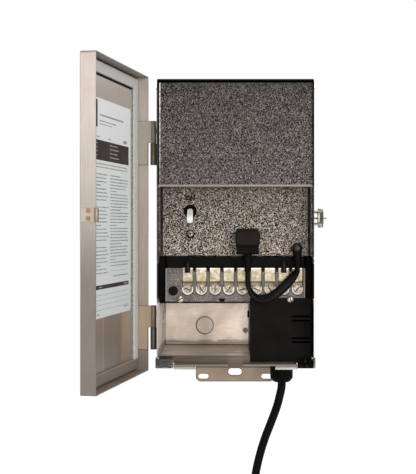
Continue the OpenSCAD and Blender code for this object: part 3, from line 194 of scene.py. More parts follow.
def new_finish(name, colour, metallic=0.0, roughness=0.5, **sockets):
    """A material whose shader has these plain values, with that shader and its coordinates."""
    finish = bpy.data.materials.new(name)
    finish.use_nodes = True
    shader = finish.node_tree.nodes["Principled BSDF"]
    plain = {"Base_Color": as_colour(colour), "Metallic": metallic, "Roughness": roughness, **sockets}
    for socket, value in plain.items():
        shader.inputs[socket.replace("_", " ")].default_value = value
    return finish, shader, add(finish.node_tree, "TexCoord").outputs["Object"]


def feed(shader, output, socket="Base Color"):
    shader.id_data.links.new(output, shader.inputs[socket])


def roughen(shader, height, strength, depth):
    bump = node("Bump", {"Height": height, "Strength": strength, "Distance": depth})
    feed(shader, bump.outputs["Normal"], "Normal")


def noise(place, scale, detail=3.0, roughness=0.5, distortion=0.0):
    return node("TexNoise", {"Vector": place, "Scale": scale, "Detail": detail,
                             "Roughness": roughness, "Distortion": distortion}).outputs["Fac"]


def blend(factor, *stops):
    """Colours or greys that a factor runs through; stops are (place, colour) pairs."""
    ramp = node("ValToRGB", {"Fac": factor})
    points = ramp.color_ramp.elements
    while len(points) < len(stops):
        points.new(0.5)
    for point, (place, colour) in zip(points, stops):
        point.position = place
        point.color = as_colour(colour)
    return ramp.outputs["Color"]


def rubber(name, colour, roughness=0.42, speck=1500, gloss=0.12):
    """Moulded or extruded rubber and plastic: a fine skin, faint patches and rubbed places."""
    finish, shader, place = new_finish(name, colour, 0.0, roughness, Specular_IOR_Level=gloss)
    feed(shader, blend(noise(place, 40, 4), (0.3, shaded(colour, 0.75)), (0.7, shaded(colour, 1.35))))
    feed(shader, blend(noise(place, 90, 5), (0.25, roughness - 0.08), (0.75, roughness + 0.1)), "Roughness")
    roughen(shader, noise(place, speck, 2), 0.25, 0.0001)
    return finish


def smooth_route(points, steps):
    """A smooth curve through given points, as closer points."""
    last = len(points) - 1
    route = []
    for i in range(last):
        before, start, end, after = (points[min(max(k, 0), last)] for k in range(i - 1, i + 3))
        for t in (step / steps for step in range(steps)):
            route.append(0.5 * (
                2 * start + (end - before) * t + (2 * before - 5 * start + 4 * end - after) * t ** 2
                + (3 * start - before - 3 * end + after) * t ** 3
            ))
    return route + [points[last]]


def make(name, corners, faces, finish, body="box", smooth=True):
    """A new piece in the frame that rides on a body."""
    mesh = bpy.data.meshes.new(name)
    mesh.from_pydata([tuple(c) for c in corners], [], faces)
    mesh.validate()
    work = bmesh.new()
    work.from_mesh(mesh)
    bmesh.ops.recalc_face_normals(work, faces=work.faces)
    work.to_mesh(mesh)
    work.free()
    mesh.polygons.foreach_set("use_smooth", [smooth] * len(mesh.polygons))
    mesh.materials.append(finish)
    piece = bpy.data.objects.new(name, mesh)
    bpy.context.scene.collection.objects.link(piece)
    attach(piece, body)
    return piece


def skin_of(rings):
    """Corners and faces of a closed skin over rings of equally many points."""
    sides = len(rings[0])
    corners = [corner for ring in rings for corner in ring]
    faces = [
        (i * sides + j, i * sides + (j + 1) % sides, (i + 1) * sides + (j + 1) % sides,
         (i + 1) * sides + j)
        for i in range(len(rings) - 1) for j in range(sides)
    ]
    last = (len(rings) - 1) * sides
    faces += [tuple(range(sides))[::-1], tuple(range(last, last + sides))]
    return corners, faces


def tube_skin(route, half_wide, half_thick, sides, rolls=None, guide=(0, 1, 0)):
    """A round or flat lead swept along a route without twisting, but for its own rolls."""
    rolls = rolls or [0] * len(route)
    rings = []
    side = Vector(guide)
    for i, point in enumerate(route):
        ahead = (route[min(i + 1, len(route) - 1)] - route[max(i - 1, 0)]).normalized()
        side = (side - side.dot(ahead) * ahead).normalized()
        other = ahead.cross(side)
        roll = math.radians(rolls[i])
        ring = []
        for j in range(sides):
            a = 2 * math.pi * (j + 0.5) / sides
            w, t = half_wide * math.cos(a), half_thick * math.sin(a)
            ring.append(point + side * (w * math.cos(roll) - t * math.sin(roll))
                        + other * (w * math.sin(roll) + t * math.cos(roll)))
        rings.append(ring)
    return skin_of(rings)


cord_d = 10.2
cord_route = [spot(*p) for p in (
    (57, 64, -193.8), (57, 64, -200), (55, 64, -210), (51, 64, -225), (44, 64, -244), (37, 64, -262),
    (31, 64, -281), (26, 64, -302), (23, 64, -324), (22, 64, -348), (22, 64, -366), (22, 64, -379.8),
)]
coil_r = 71.5
turn_pitch = 10.8
coil_turns = 4
turn_rings = 36
climb_share = 0.25
coil_middle = (22 - coil_r, 64, -390)
tail_l = 12


def coil_point(turn):
    """One point of the coil: in and out again at a steady rate, climbing where it turns back."""
    radius = coil_r - turn_pitch * min(turn, coil_turns - turn)
    climb = min(max((turn - coil_turns / 2) / (2 * climb_share) + 0.5, 0), 1)
    angle = -2 * math.pi * turn
    x, depth, z = coil_middle
    return spot(x + radius * math.cos(angle), depth + turn_pitch * climb, z + radius * math.sin(angle))


hanging = smooth_route(cord_route, 4)
coil = [coil_point(i / turn_rings) for i in range(coil_turns * turn_rings + 1)]
tail_start = coil[-1] - Vector((0, 0, cord_d / 1000))
tail = [tail_start, tail_start - Vector((0, 0, tail_l / 1000))]
mains_route = hanging + coil + tail
mains_rubber = rubber("mains_rubber", (9, 8, 7), 0.42, gloss=0.04)
mains_cord = make("mains_cord", *tube_skin(mains_route, cord_d / 2000, cord_d / 2000, 20), mains_rubber)
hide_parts("power_cord", "cord_coil", "plug_tail")


# Plug on the mains cord
# A moulded three-pin plug with a ribbed relief and grip ridges, on the end of the coil.
# Its blades are brass, pressed into the moulding.
def oval(centre, half_x, half_y, power, sides, axes=((1, 0, 0), (0, 1, 0))):
    """One ring: round at power 2, squarer above it."""
    ring = []
    for j in range(sides):
        a = 2 * math.pi * j / sides
        c, s = math.cos(a), math.sin(a)
        x = half_x * math.copysign(abs(c) ** (2 / power), c)
        y = half_y * math.copysign(abs(s) ** (2 / power), s)
        ring.append(Vector(centre) + Vector(axes[0]) * x + Vector(axes[1]) * y)
    return ring


def ribbed(top, tip, first, last, steps, rib, power=2, notched=lambda i: i % 4 in (1, 2)):
    """Rings of a tapered relief from its top to its tip, with notches between its ribs."""
    rings = []
    for i in range(steps + 1):
        share = i / steps
        half = [a + (b - a) * share - (rib if notched(i) else 0) for a, b in zip(first, last)]
        rings.append(oval(top.lerp(tip, share), *half, power, 28))
    return rings


plug_low, plug_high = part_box("power_plug")
plug_top = Vector((tail[-1].x, tail[-1].y, plug_high.z))
relief_l = 0.028
plug_body_l = plug_top.z - plug_low.z - relief_l
plug_half = ((plug_high.x - plug_low.x) / 2, (plug_high.y - plug_low.y) / 2)
neck_r = 0.0056
shoulder_r = 0.0086
relief_foot = plug_top - Vector((0, 0, relief_l - 0.003))
rings = ribbed(plug_top, relief_foot, (neck_r, neck_r), (shoulder_r, shoulder_r), 24, 0.0007)
# Three grip grooves run round the plug's body, one every 5 mm.
profile = [(0.0, 0.84, 2.6), (0.0015, 0.93, 3.2), (0.006, 0.97, 4)]
for down in (0.010, 0.015, 0.020):
    profile += [(down, 0.99, 4), (down + 0.0005, 0.95, 4), (down + 0.002, 0.95, 4), (down + 0.0025, 0.99, 4)]
profile[-1] = (0.0225, 1.0, 4)
profile += [(plug_body_l - 0.001, 1.0, 4), (plug_body_l, 0.96, 4)]
for down, grow, power in profile:
    centre = plug_top - Vector((0, 0, relief_l + down))
    rings.append(oval(centre, plug_half[0] * grow, plug_half[1] * grow, power, 28))
mains_plug = make("mains_plug", *skin_of(rings), mains_rubber)
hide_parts("power_plug")


# Jumper lead
# Flat black lead that hangs in a loop from the transformer's plug, crosses the terminals
# and comes up into the right angle relief on the panel.
jumper_w = 11
jumper_t = 6
jumper_route = [spot(*p) for p in (
    (14.5, 12, -55.9), (14.5, 12, -62), (14.7, 12, -69), (16.5, 12, -77), (22, 12, -85), (30, 12, -88.6),
    (39, 12, -87.4), (48, 12, -82.5), (56, 12, -75.8), (62.5, 12, -69), (68, 12, -62.5),
    (71.6, 12, -57.6), (73.1, 12, -53.8), (73.1, 12, -51),
)]
jumper_rolls = [0, 0, 5, 15, 30, 50, 65, 75, 80, 75, 55, 30, 8, 0]
jumper_steps = 5
route = smooth_route(jumper_route, jumper_steps)
rolls = [a + (b - a) * k / jumper_steps for a, b in zip(jumper_rolls, jumper_rolls[1:])
         for k in range(jumper_steps)] + jumper_rolls[-1:]
jumper_rubber = rubber("jumper_rubber", (13, 11, 10), 0.26, 900, 0.06)
jumper_skin = tube_skin(route, jumper_w / 2000, jumper_t / 2000, 24, rolls)
jumper_lead = make("jumper_lead", *jumper_skin, jumper_rubber)
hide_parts("jumper_cord")


# Plug on the jumper lead
# Black moulded right angle plug, pushed into the socket on the panel: an eight-sided head,
# a ribbed grip under it and a short tapered relief that the lead comes out of.
def soften(piece, width, segments=3, angle=35):
    """Rounds a piece's edges and keeps its flats flat."""
    bevel = piece.modifiers.new("edges", "BEVEL")
    bevel.width = width
    bevel.segments = segments
    bevel.limit_method = "ANGLE"
    bevel.angle_limit = math.radians(angle)
    bevel.harden_normals = False
    return piece


def front_slice(outline, y_front, y_back):
    """Corners and faces of an outline seen from the front, given in x and z, made thick."""
    count = len(outline)
    corners = [Vector((x, y, z)) for y in (y_front, y_back) for x, z in outline]
    faces = [tuple(range(count))[::-1], tuple(range(count, 2 * count))]
    faces += [(i, (i + 1) % count, count + (i + 1) % count, count + i) for i in range(count)]
    return corners, faces


def rectangle(left, right, low, high):
    return [(left, low), (right, low), (right, high), (left, high)]


def rounded_box(name, low, high, bevel, finish):
    """A block with rounded edges."""
    slab = front_slice(rectangle(low[0], high[0], low[2], high[2]), low[1], high[1])
    return soften(make(name, *slab, finish, smooth=False), bevel)


jumper_plastic = rubber("jumper_plastic", (13, 11, 10), 0.4, 700, 0.03)
# The head's front is a lighter grey as a painted reflection; its rounded edges keep the plastic's black.
jumper_face_sheen = rubber("jumper_face_sheen", (30, 27, 24), 0.5, 700, 0.03)
low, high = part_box("jumper_plug")
plug_x = (low.x + high.x) / 2
half_x = (high.x - low.x) / 2
head_h = 0.0177
grip_h = 0.0104
waist = high.z - head_h
lower_z = waist - grip_h
chamfer = 0.0032
head_side = [(half_x - chamfer / 2, waist), (half_x, waist + chamfer / 2), (half_x, high.z - chamfer),
             (half_x - chamfer, high.z)]
head_outline = [(plug_x + x, z) for x, z in head_side] + [(plug_x - x, z) for x, z in head_side[::-1]]
plug_head = make("jumper_plug_head", *front_slice(head_outline, low.y, high.y), jumper_face_sheen, smooth=False)
soften(plug_head, 0.0016, 4, 20)
plug_head.data.materials.append(jumper_plastic)
plug_head.modifiers["edges"].material = 1
grip_in = 0.0015
grip_half = half_x - 0.0011
rib_half = half_x - 0.0022
rib_t = 0.0007
grip = rounded_box("jumper_plug_grip", (plug_x - grip_half, low.y + grip_in, lower_z),
                   (plug_x + grip_half, high.y - grip_in, waist + 0.001), 0.0012, jumper_plastic)
for i, share in enumerate((0.2, 0.5, 0.8)):
    rib_z = lower_z + grip_h * share
    rib = rounded_box(f"jumper_plug_rib_{i}", (plug_x - rib_half, low.y + rib_t, rib_z - rib_t),
                      (plug_x + rib_half, low.y + 0.004, rib_z + rib_t), 0.0005, jumper_plastic)
relief_top = Vector((plug_x, jumper_route[0].y, lower_z + 0.0005))
relief_tip = Vector((plug_x, relief_top.y, low.z))
rings = ribbed(relief_top, relief_tip, (0.0058, 0.0045), (0.0042, 0.0058), 20, 0.0006)
relief = make("jumper_plug_relief", *skin_of(rings), jumper_plastic)
for piece in (plug_head, grip, relief):
    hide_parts("jumper_plug")


# Relief of the jumper lead on the panel
# A right angle bushing: a round cap snapped into the panel, whose nose points down
# and tapers on to the lead.
low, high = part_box("cord_bushing")
cap_x = (low.x + high.x) / 2
flange_r = 0.00665
cap_z = high.z - flange_r
nose_y = jumper_route[-1].y


def turned(profile, centre, sides=32, upright=False):
    """Rings of a piece turned about a line through its centre; profile gives (along, radius)."""
    line = Vector((0, 0, 1) if upright else (0, 1, 0))
    axes = ((1, 0, 0), (0, 1, 0) if upright else (0, 0, 1))
    return [oval(Vector(centre) + line * step, radius, radius, 2, sides, axes)
            for step, radius in profile]


panel_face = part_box("control_panel")[0].y
dome_r = 0.0062
cap_l = 0.0137
dome = [(dome_r * (1 - math.cos(a)) - cap_l, dome_r * math.sin(a))
        for a in (math.radians(8 + 82 * i / 7) for i in range(8))]
flange = [(-0.0022, dome_r), (-0.0020, flange_r), (-0.0002, flange_r), (0, dome_r)]
bushing_plastic = rubber("bushing_plastic", (14, 12, 11), 0.22, 700, 0.4)
cap_skin = skin_of(turned(dome + flange, (cap_x, panel_face, cap_z)))
bushing_cap = make("bushing_cap", *cap_skin, bushing_plastic)
nose_top = Vector((cap_x, nose_y + 0.0046, cap_z - 0.0015))
rings = ribbed(nose_top, Vector((cap_x, nose_y, low.z)), (0.0056, 0.0052), (0.0042, 0.0057), 18, 0.0005,
               2.2, lambda i: i > 7 and i % 3 == 0)
bushing_nose = make("bushing_nose", *skin_of(rings), jumper_plastic)
for piece in (bushing_cap, bushing_nose):
    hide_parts("cord_bushing")


# Box sheets
# Wrap, roof, floor and wall tabs, cut and folded from brushed stainless sheet and riveted.
# The brushing runs across the roof, floor and tabs and up the walls.
def metres(axis, value):
    """A place along one axis, in the box's millimetres, as a place in the frame."""
    return (value - {"Y": wall_depth, "Z": slot_height}.get(axis, 0)) / 1000


def worked(operation, *values):
    """The outcome of a sum on outputs and plain numbers."""
    return node("Math", dict(enumerate(values)), operation=operation).outputs[0]


def ranged(value, low, high, first=0.0, last=1.0):
    """Runs from a first number to a last one while a value runs from low to high."""
    return node("MapRange", {"Value": value, "From Min": low, "From Max": high,
                             "To Min": first, "To Max": last}).outputs["Result"]


def mix(base, over, mask, mode="MIX"):
    """Another colour where a mask is 1."""
    return node("MixRGB", {"Fac": mask, "Color1": as_colour(base), "Color2": as_colour(over)},
                blend_type=mode).outputs["Color"]


def times(base, over, mask=1.0):
    """A colour darkened or tinted by another where a mask is 1."""
    return mix(base, over, mask, "MULTIPLY")


def along(place, axis):
    """How far a point lies along an axis, in metres; aside is how far it is from the middle."""
    if axis == "aside":
        return worked("ABSOLUTE", along(place, "X"))
    return node("SeparateXYZ", {"Vector": place}).outputs[axis]


def between(value, low, high, soft=0.0003):
    """1 while a value is between two others, and 0 beyond them."""
    return worked("MULTIPLY", ranged(value, low - soft, low + soft),
                  ranged(value, high - soft, high + soft, 1.0, 0.0))


def both(*masks):
    """1 where every mask is 1."""
    return reduce(lambda one, other: worked("MULTIPLY", one, other), masks)


def either(*masks):
    """1 where any mask is 1."""
    return reduce(lambda one, other: worked("MAXIMUM", one, other), masks)


def block(place, soft=0.0003, **spans):
    """1 in a block whose spans along the axes are in the box's millimetres, and 0 outside it."""
    return both(*[between(along(place, axis), metres(axis, low), metres(axis, high), soft)
                  for axis, (low, high) in spans.items()])


def across(place, axis, *stops):
    """Colours that change along an axis; stops are pairs of the box's millimetres and a colour."""
    first, last = stops[0][0], stops[-1][0]
    return blend(ranged(along(place, axis), metres(axis, first), metres(axis, last)),
                 *[((step - first) / (last - first), colour) for step, colour in stops])


def stretched(place, *scale):
    """The place with its axes scaled, for strokes that run one way."""
    return node("Mapping", {"Vector": place, "Scale": scale}).outputs["Vector"]


def brushed(name, colour, grain="X", roughness=0.34, metallic=0.75, paint=None, shine=None):
    """Brushed stainless: fine strokes one way, faint clouds and a few rubbed smears.

    paint takes the place and the steel's colour, and returns the colour with the parts of
    the sheet that are another tone. shine takes the place, and returns how metallic it is.
    """
    finish, shader, place = new_finish(name, colour, metallic, roughness)
    fine, long = 1100, 45
    lines = noise(stretched(place, *[long if axis in grain else fine for axis in "XYZ"]), 1, 3, 0.6)
    clouds = noise(place, 14, 4, 0.6, 0.8)
    steel = times(blend(lines, (0.3, shaded(colour, 0.9)), (0.7, shaded(colour, 1.07))),
                  blend(clouds, (0.3, 0.88), (0.62, 1)))
    feed(shader, paint(place, steel) if paint else steel)
    if shine:
        feed(shader, shine(place), "Metallic")
    feed(shader, blend(clouds, (0.3, roughness + 0.12), (0.7, roughness - 0.04)), "Roughness")
    roughen(shader, lines, 0.18, 0.00012)
    return finish


def weld(piece):
    """Joins the corners of a piece that lie at the same place."""
    piece.modifiers.new("weld", "WELD").merge_threshold = 0.00001


def dress(nodes, finish, edge=0.0003, segments=2, edge_finish=None):
    """Gives CAD pieces their finish and takes the sharpness off their edges."""
    for name in nodes:
        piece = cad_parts[name]
        for slot in piece.material_slots:
            slot.material = finish
        if edge:
            weld(piece)
            soften(piece, edge, segments, 40)
        if edge_finish:
            piece.data.materials.append(edge_finish)
            piece.modifiers["edges"].material = len(piece.data.materials) - 1


half_w = 92
sheet_t = 1.2
shell_depth = 137
roof_top = 169
covers_low = -37.6
window_top = 43.5
block_low = -92.6
floor_top = -157
far = 1000
sharp = 0.0001
# unlit is the black and dull the grey of the painted shade and dark reflection on the walls beside the covers
# and the panel.
unlit = (10, 9, 8)
dull = (92, 85, 79)


def outside_of(place):
    """1 on the walls' outer faces and 0 inside."""
    return either(block(place, aside=(half_w - 0.25, far)), block(place, Y=(shell_depth - 0.25, far)))


def wall_shine(place):
    """The brushed outside mirrors most, the back wall less, and the left wall's inside hardly."""
    inside = across(place, "X", (-92.5, 0.1), (-90, 0.1), (-89.5, 0.4), (-40, 0.42), (0, 0.55),
                    (18, 0.65), (93, 1.0))
    return mix(inside, 0.7, outside_of(place))


def ring_at(place, x, z, radius, half):
    """1 on a ring drawn on the back wall round a place, all in millimetres."""
    flat = node("VectorMath", {0: place, 1: (1, 0, 1)}, operation="MULTIPLY").outputs[0]
    apart = node("VectorMath", {0: flat, 1: (metres("X", x), 0, metres("Z", z))}, operation="DISTANCE")
    return between(apart.outputs["Value"], (radius - half) / 1000, (radius + half) / 1000, 0.0002)


def wall_tones(place, steel):
    """Painted shade and dark reflection: the walls' inner faces and front edges are black beside the covers
    and the terminals and grey beside the panel, with a mottled strip of painted glints under the panel and a
    speckled strip at the foot of the terminal block; the right wall's front low down and the insides behind
    the wiring cover are painted black shadow.
    """
    steel = times(steel, 0.5, outside_of(place))
    groove = either(both(block(place, sharp, aside=(91.1, 91.7)), block(place, Y=(10, shell_depth - 3))),
                    block(place, sharp, Y=(shell_depth - 1, shell_depth - 0.25)))
    steel = mix(steel, (70, 60, 50), groove)
    inner = block(place, aside=(0, half_w - sheet_t / 2))
    edge = both(either(inner, block(place, Y=(-2, sheet_t / 2))), block(place, Y=(-2, 60)))
    beside = across(place, "Z", (block_low, unlit), (covers_low, unlit), (covers_low + 0.4, dull),
                    (window_top - 0.4, dull), (window_top + 0.4, unlit), (200, unlit))
    beside = mix(beside, unlit, both(inner, block(place, Z=(covers_low, window_top))))
    mottle = blend(noise(place, 420, 3), (0.42, (40, 35, 31)), (0.6, (150, 140, 128)))
    beside = mix(beside, mottle, either(block(place, Z=(covers_low - 9, covers_low - 1)),
                                        block(place, Z=(block_low, block_low + 5))))
    steel = mix(steel, beside, both(edge, block(place, Z=(block_low, 220))))
    right = block(place, X=(89.8, 91.5), Z=(-161.5, block_low), Y=(-2, 60))
    behind = block(place, X=(20, 91), Z=(-170, -96), Y=(-2, shell_depth - sheet_t / 2))
    return mix(steel, unlit, either(right, behind))


knockout = (-39.3, -131.5)
knockout_r = 11.2


def back_tones(place, steel):
    """Painted reflection on the back wall: paler and warmer towards its right, with faint clouds, and dark in
    bands along its foot; a dark line where it meets the floor, and a scored knockout.
    """
    warm = times(steel, across(
        place, "X", (-92, (226, 218, 211)), (-72, (220, 211, 203)), (-60, (208, 198, 190)),
        (-40, (210, 200, 191)), (-28, (236, 225, 214)), (0, (248, 238, 229)), (18, (255, 250, 242)),
        (92, (255, 250, 242)),
    ))
    warm = times(warm, blend(noise(place, 34, 4, 0.6), (0.35, 0.86), (0.62, 1.08)))
    lifted = worked("MULTIPLY_ADD", noise(place, 46, 4, 0.65), 0.012, metres("Z", -156.6))
    foot = ranged(worked("SUBTRACT", lifted, along(place, "Z")), -0.001, 0.002)
    bands = blend(noise(stretched(place, 25, 25, 700), 1, 3), (0.36, 0.30), (0.62, 0.62))
    warm = times(warm, bands, both(foot, block(place, Z=(-200, block_low))))
    warm = mix(warm, (60, 50, 43), block(place, Z=(floor_top - 1, floor_top + 0.9)))
    x, z = knockout
    nick = ring_at(place, x - 0.4, z - knockout_r - 0.6, 0, 0.9)
    warm = mix(warm, (95, 76, 61), either(ring_at(place, x, z, knockout_r, 0.7), nick))
    warm = times(warm, 0.9, ring_at(place, x, z, 0, knockout_r))
    return mix(steel, warm, block(place, Y=(130, shell_depth - sheet_t / 2)))


def left_tones(place, steel):
    """The left wall's inner face is pale and warm, darker along its foot and in dark patches, with painted
    shade high in its back corner; its front edges are darker low down, as painted shade.
    """
    inner_face_tones = times(times(steel, (1, 0.95, 0.91, 1)), 0.4, block(place, 0.002, Z=(-156, -148)))
    dark = either(
        block(place, Z=(floor_top - 1, floor_top + 1.2)),
        block(place, Y=(128, shell_depth), Z=(-115, block_low)),
        block(place, Y=(94, 105), Z=(-121, -109)),
        block(place, Y=(89, 100), Z=(-144, -125)),
    )
    inner_face_tones = mix(inner_face_tones, (48, 40, 34), dark)
    face = both(block(place, sharp, X=(-91.2, -90.5)), block(place, Y=(0.4, shell_depth - 1)))
    rim = block(place, Y=(-2, 0.5), Z=(floor_top, block_low))
    return times(mix(steel, inner_face_tones, face), 0.45, rim)


def wall_paint(place, steel):
    return wall_tones(place, left_tones(place, back_tones(place, steel)))


def roof_tones(place, steel):
    """The roof is dull on its top; along its front, its edge and underside are painted black as painted shade
    and dark reflection.
    """
    front = block(place, aside=(-far, half_w - sheet_t / 2), Y=(-3, 30))
    edge = either(block(place, Y=(-3, 0.4)), block(place, Z=(slot_height, roof_top - 0.4)))
    steel = times(steel, 0.62, block(place, Z=(roof_top - 0.4, far)))
    return mix(steel, (12, 11, 10), both(front, edge))


# The right front corner, painted with the black cover's dark reflection.
def cover_reflection_corner(place):
    return block(place, X=(71.5, 91.4), Y=(-3, 23))


def floor_tones(place, steel):
    """Painted reflection and shade: the lip's front and the sill are darker in bands, the step's face and the
    floor's front and back edges are dark, and the floor grows paler towards the back; the lip has fine
    streaks, the right corner carries the black cover's painted reflection, and the left corner is darkened
    and mottled.
    """
    steel = times(steel, across(
        place, "Y", (-3, 0.66), (1.4, 0.66), (2.2, (160, 148, 136)), (19, (160, 148, 136)),
        (20.2, (96, 86, 77)), (22.9, (96, 86, 77)), (23.6, 0.3), (26, 1.15), (60, 1.2), (90, 1.3),
        (131, 1.35), (136, 0.3),
    ))
    stripe_tones = blend(noise(stretched(place, 20, 130, 1500), 1, 3, 0.6), (0.36, 0.55), (0.62, 1.15))
    lip = across(place, "Z", (-171, 1), (-168.6, 0.8), (-167.4, 0.45), (-166.6, 0.16), (-166.2, 0.34),
                 (-165, 0.34), (-164.6, 0.16))
    steel = times(times(steel, stripe_tones), lip, block(place, Y=(-3, 1.4)))
    mottle = blend(noise(stretched(place, 150, 150, 600), 1, 3), (0.44, 0.13), (0.66, 0.75))
    steel = times(steel, mottle, block(place, X=(-200, -74.5), Y=(-3, 23)))
    specks = blend(noise(place, 420, 2), (0.6, 0.02), (0.7, 0.2))
    return times(steel, specks, cover_reflection_corner(place))


def floor_shine(place):
    """The corner painted with the black cover's reflection is fully metallic; the rest of the floor less so.
    """
    return ranged(cover_reflection_corner(place), 0, 1, 0.4, 1.0)


tab_half = 51
tab_ends = (-204.8, 186)
tab_slots = ((41, -198, 13.4, 6.4), (0, -192, 17.6, 8.8), (0, 178, 17.6, 8.8))


def off_slot(place, x, z, long, tall):
    """How far a point lies from the line between the centres of a slot's round ends."""
    apart = worked("ABSOLUTE", worked("SUBTRACT", along(place, "aside"), x / 1000))
    past = worked("MAXIMUM", worked("SUBTRACT", apart, (long - tall) / 2000), 0)
    rise = worked("SUBTRACT", along(place, "Z"), metres("Z", z))
    away = node("CombineXYZ", {"X": past, "Z": rise}).outputs["Vector"]
    return node("VectorMath", {0: away}, operation="LENGTH").outputs["Value"]


def tab_tones(place, steel):
    """A tab is dull where the sill shades it, and dark along its cut edges and its slots."""
    steel = times(steel, 0.45, block(place, Z=(-187, -150), Y=(130, wall_depth - 0.5)))
    cut = either(
        block(place, aside=(tab_half - 0.9, far)),
        block(place, Z=(-far, tab_ends[0] + 0.9)),
        block(place, Z=(tab_ends[1] - 0.9, far)),
        *[between(off_slot(place, *slot), 0, (slot[3] / 2 + 0.8) / 1000) for slot in tab_slots],
    )
    return times(steel, 0.3, cut)


wall_steel = brushed("wall_steel", (253, 244, 234), "XY", 0.4, 0.3, wall_paint, wall_shine)
roof_steel = brushed("roof_steel", (222, 216, 206), paint=roof_tones)
floor_steel = brushed("floor_steel", (222, 208, 194), "X", 0.34, 0.4, floor_tones, floor_shine)
tab_steel = brushed("tab_steel", (140, 122, 106), "X", 0.4, 0.5, tab_tones)
tab_edge = brushed("tab_edge", (64, 56, 50), "X", 0.5)
dress(["enclosure_shell"], wall_steel, 0.0002)
dress(["top_panel"], roof_steel)
dress(["floor_panel"], floor_steel)
dress(["lower_mount_tab", "upper_mount_tab"], tab_steel, 0.0009, edge_finish=tab_edge)


def plated(name, colour, roughness=0.28, metallic=0.85):
    """Zinc or nickel plate: bright, a little mottled, with fine scuffs."""
    finish, shader, place = new_finish(name, colour, metallic, roughness)
    mottle = noise(place, 260, 4, 0.6)
    feed(shader, blend(mottle, (0.32, shaded(colour, 0.78)), (0.66, shaded(colour, 1.1))))
    feed(shader, blend(noise(place, 700, 3), (0.35, roughness + 0.15), (0.65, roughness - 0.05)), "Roughness")
    roughen(shader, mottle, 0.15, 0.0001)
    return finish


rivet_plate = plated("rivet_plate", (176, 166, 156))
dress(["tab_rivets"], rivet_plate)


# Transformer
# A ring of steel strip, wound with copper wire and taped, held to the back wall by a stud
# through two rubber pads and a dished washer.
core_finish, shader, place = new_finish("strip_steel", (96, 98, 102), 0.8, 0.45)
turns = node("TexWave", {"Vector": place, "Scale": 260, "Distortion": 1.0, "Detail": 2},
             wave_type="RINGS", rings_direction="Y").outputs["Fac"]
feed(shader, blend(turns, (0.2, (66, 68, 72)), (0.8, (126, 126, 128))))
roughen(shader, turns, 0.3, 0.0002)
dress(["toroid_core"], core_finish)

tape_finish, shader, place = new_finish("winding_tape", (196, 160, 74), 0.0, 0.42)
ring_low, ring_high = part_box("toroid_winding")
ring_middle = (ring_low + ring_high) / 2
laps_round = 34
centred = node("VectorMath", {0: place, 1: tuple(ring_middle)}, operation="SUBTRACT").outputs[0]
angle = worked("ARCTAN2", along(centred, "Z"), along(centred, "X"))
lap = worked("FRACT", worked("MULTIPLY", angle, laps_round))
feed(shader, blend(lap, (0.0, (120, 92, 36)), (0.12, (206, 172, 88)), (0.9, (186, 150, 66))))
roughen(shader, lap, 0.6, 0.0006)
dress(["toroid_winding"], tape_finish, 0)
dress(["toroid_pads"], rubber("pad_rubber", (40, 39, 38), 0.7))
dress(["toroid_washer", "toroid_stud", "toroid_nut"], plated("zinc_plate", (188, 184, 172)), 0.0004)


# Upper cover and control panel
# Both are steel sheet in a hammered baked enamel, dark pits between paler raised veins.
# The cover hides the transformer, and its side bars frame the recessed panel.
def hammered(name, pit, body, vein, paint):
    """Hammered enamel: a paler worm-like net over dark pits, with slight hue drift."""
    finish, shader, place = new_finish(name, body, 0.1, 0.4, Specular_IOR_Level=0.12,
                                       Coat_Weight=0.03, Coat_Roughness=0.25)
    net = worked("ABSOLUTE", worked("SUBTRACT", noise(place, 560, 1.0, 0.4, 0.5), 0.5))
    colour = blend(net, (0.0, vein), (0.008, vein), (0.055, body), (0.1, pit))
    colour = times(colour, blend(noise(place, 90, 2), (0.3, 0.92), (0.7, 1.06)))
    hue = blend(noise(place, 16, 2), (0.35, (0.97, 0.98, 0.95, 1)), (0.65, (1.03, 0.99, 1.02, 1)))
    feed(shader, paint(place, times(colour, hue)))
    roughen(shader, ranged(net, 0.0, 0.1, 1.0, 0.0), 0.7, 0.0001)
    return finish


lower_glint_h = 2.3


def cover_shade_and_glints(place, enamel):
    """Painted shade and highlights on the cover: darker towards its top, a black painted shadow gap along its
    left edge, and painted highlights on its left fold and along its lower edge.
    """
    beside = block(place, Z=(window_top, 200))
    folded = times(enamel, across(place, "Z", (-40, 0.74), (window_top, 0.76), (100, 0.66), (170, 0.44)))
    folded = mix(folded, (8, 7, 6), both(block(place, sharp, X=(-100, -89.1)), beside))
    pale = across(place, "Z", (window_top, (150, 142, 135)), (90, (206, 200, 193)),
                  (140, (246, 244, 240)), (190, (246, 244, 240)))
    pale = times(pale, blend(noise(place, 330, 2), (0.42, 0.45), (0.56, 1)))
    folded = mix(folded, pale, both(block(place, sharp, X=(-89.1, -87.9)), beside))
    return mix(folded, (146, 134, 127), block(place, Z=(window_top - 0.6, window_top + lower_glint_h)))


def panel_shade(place, enamel):
    """Painted shade: the panel is darker towards its top."""
    return times(enamel, across(place, "Z", (-40, 1.06), (0, 0.86), (44, 0.62)))


cover_enamel = hammered("cover_enamel", (14, 11, 9), (58, 53, 49), (178, 168, 160), cover_shade_and_glints)
panel_enamel = hammered("panel_enamel", (18, 14, 11), (82, 72, 63), (230, 214, 198), panel_shade)
dress(["transformer_cover"], cover_enamel, 0.0004)
dress(["control_panel"], panel_enamel, 0.0004)


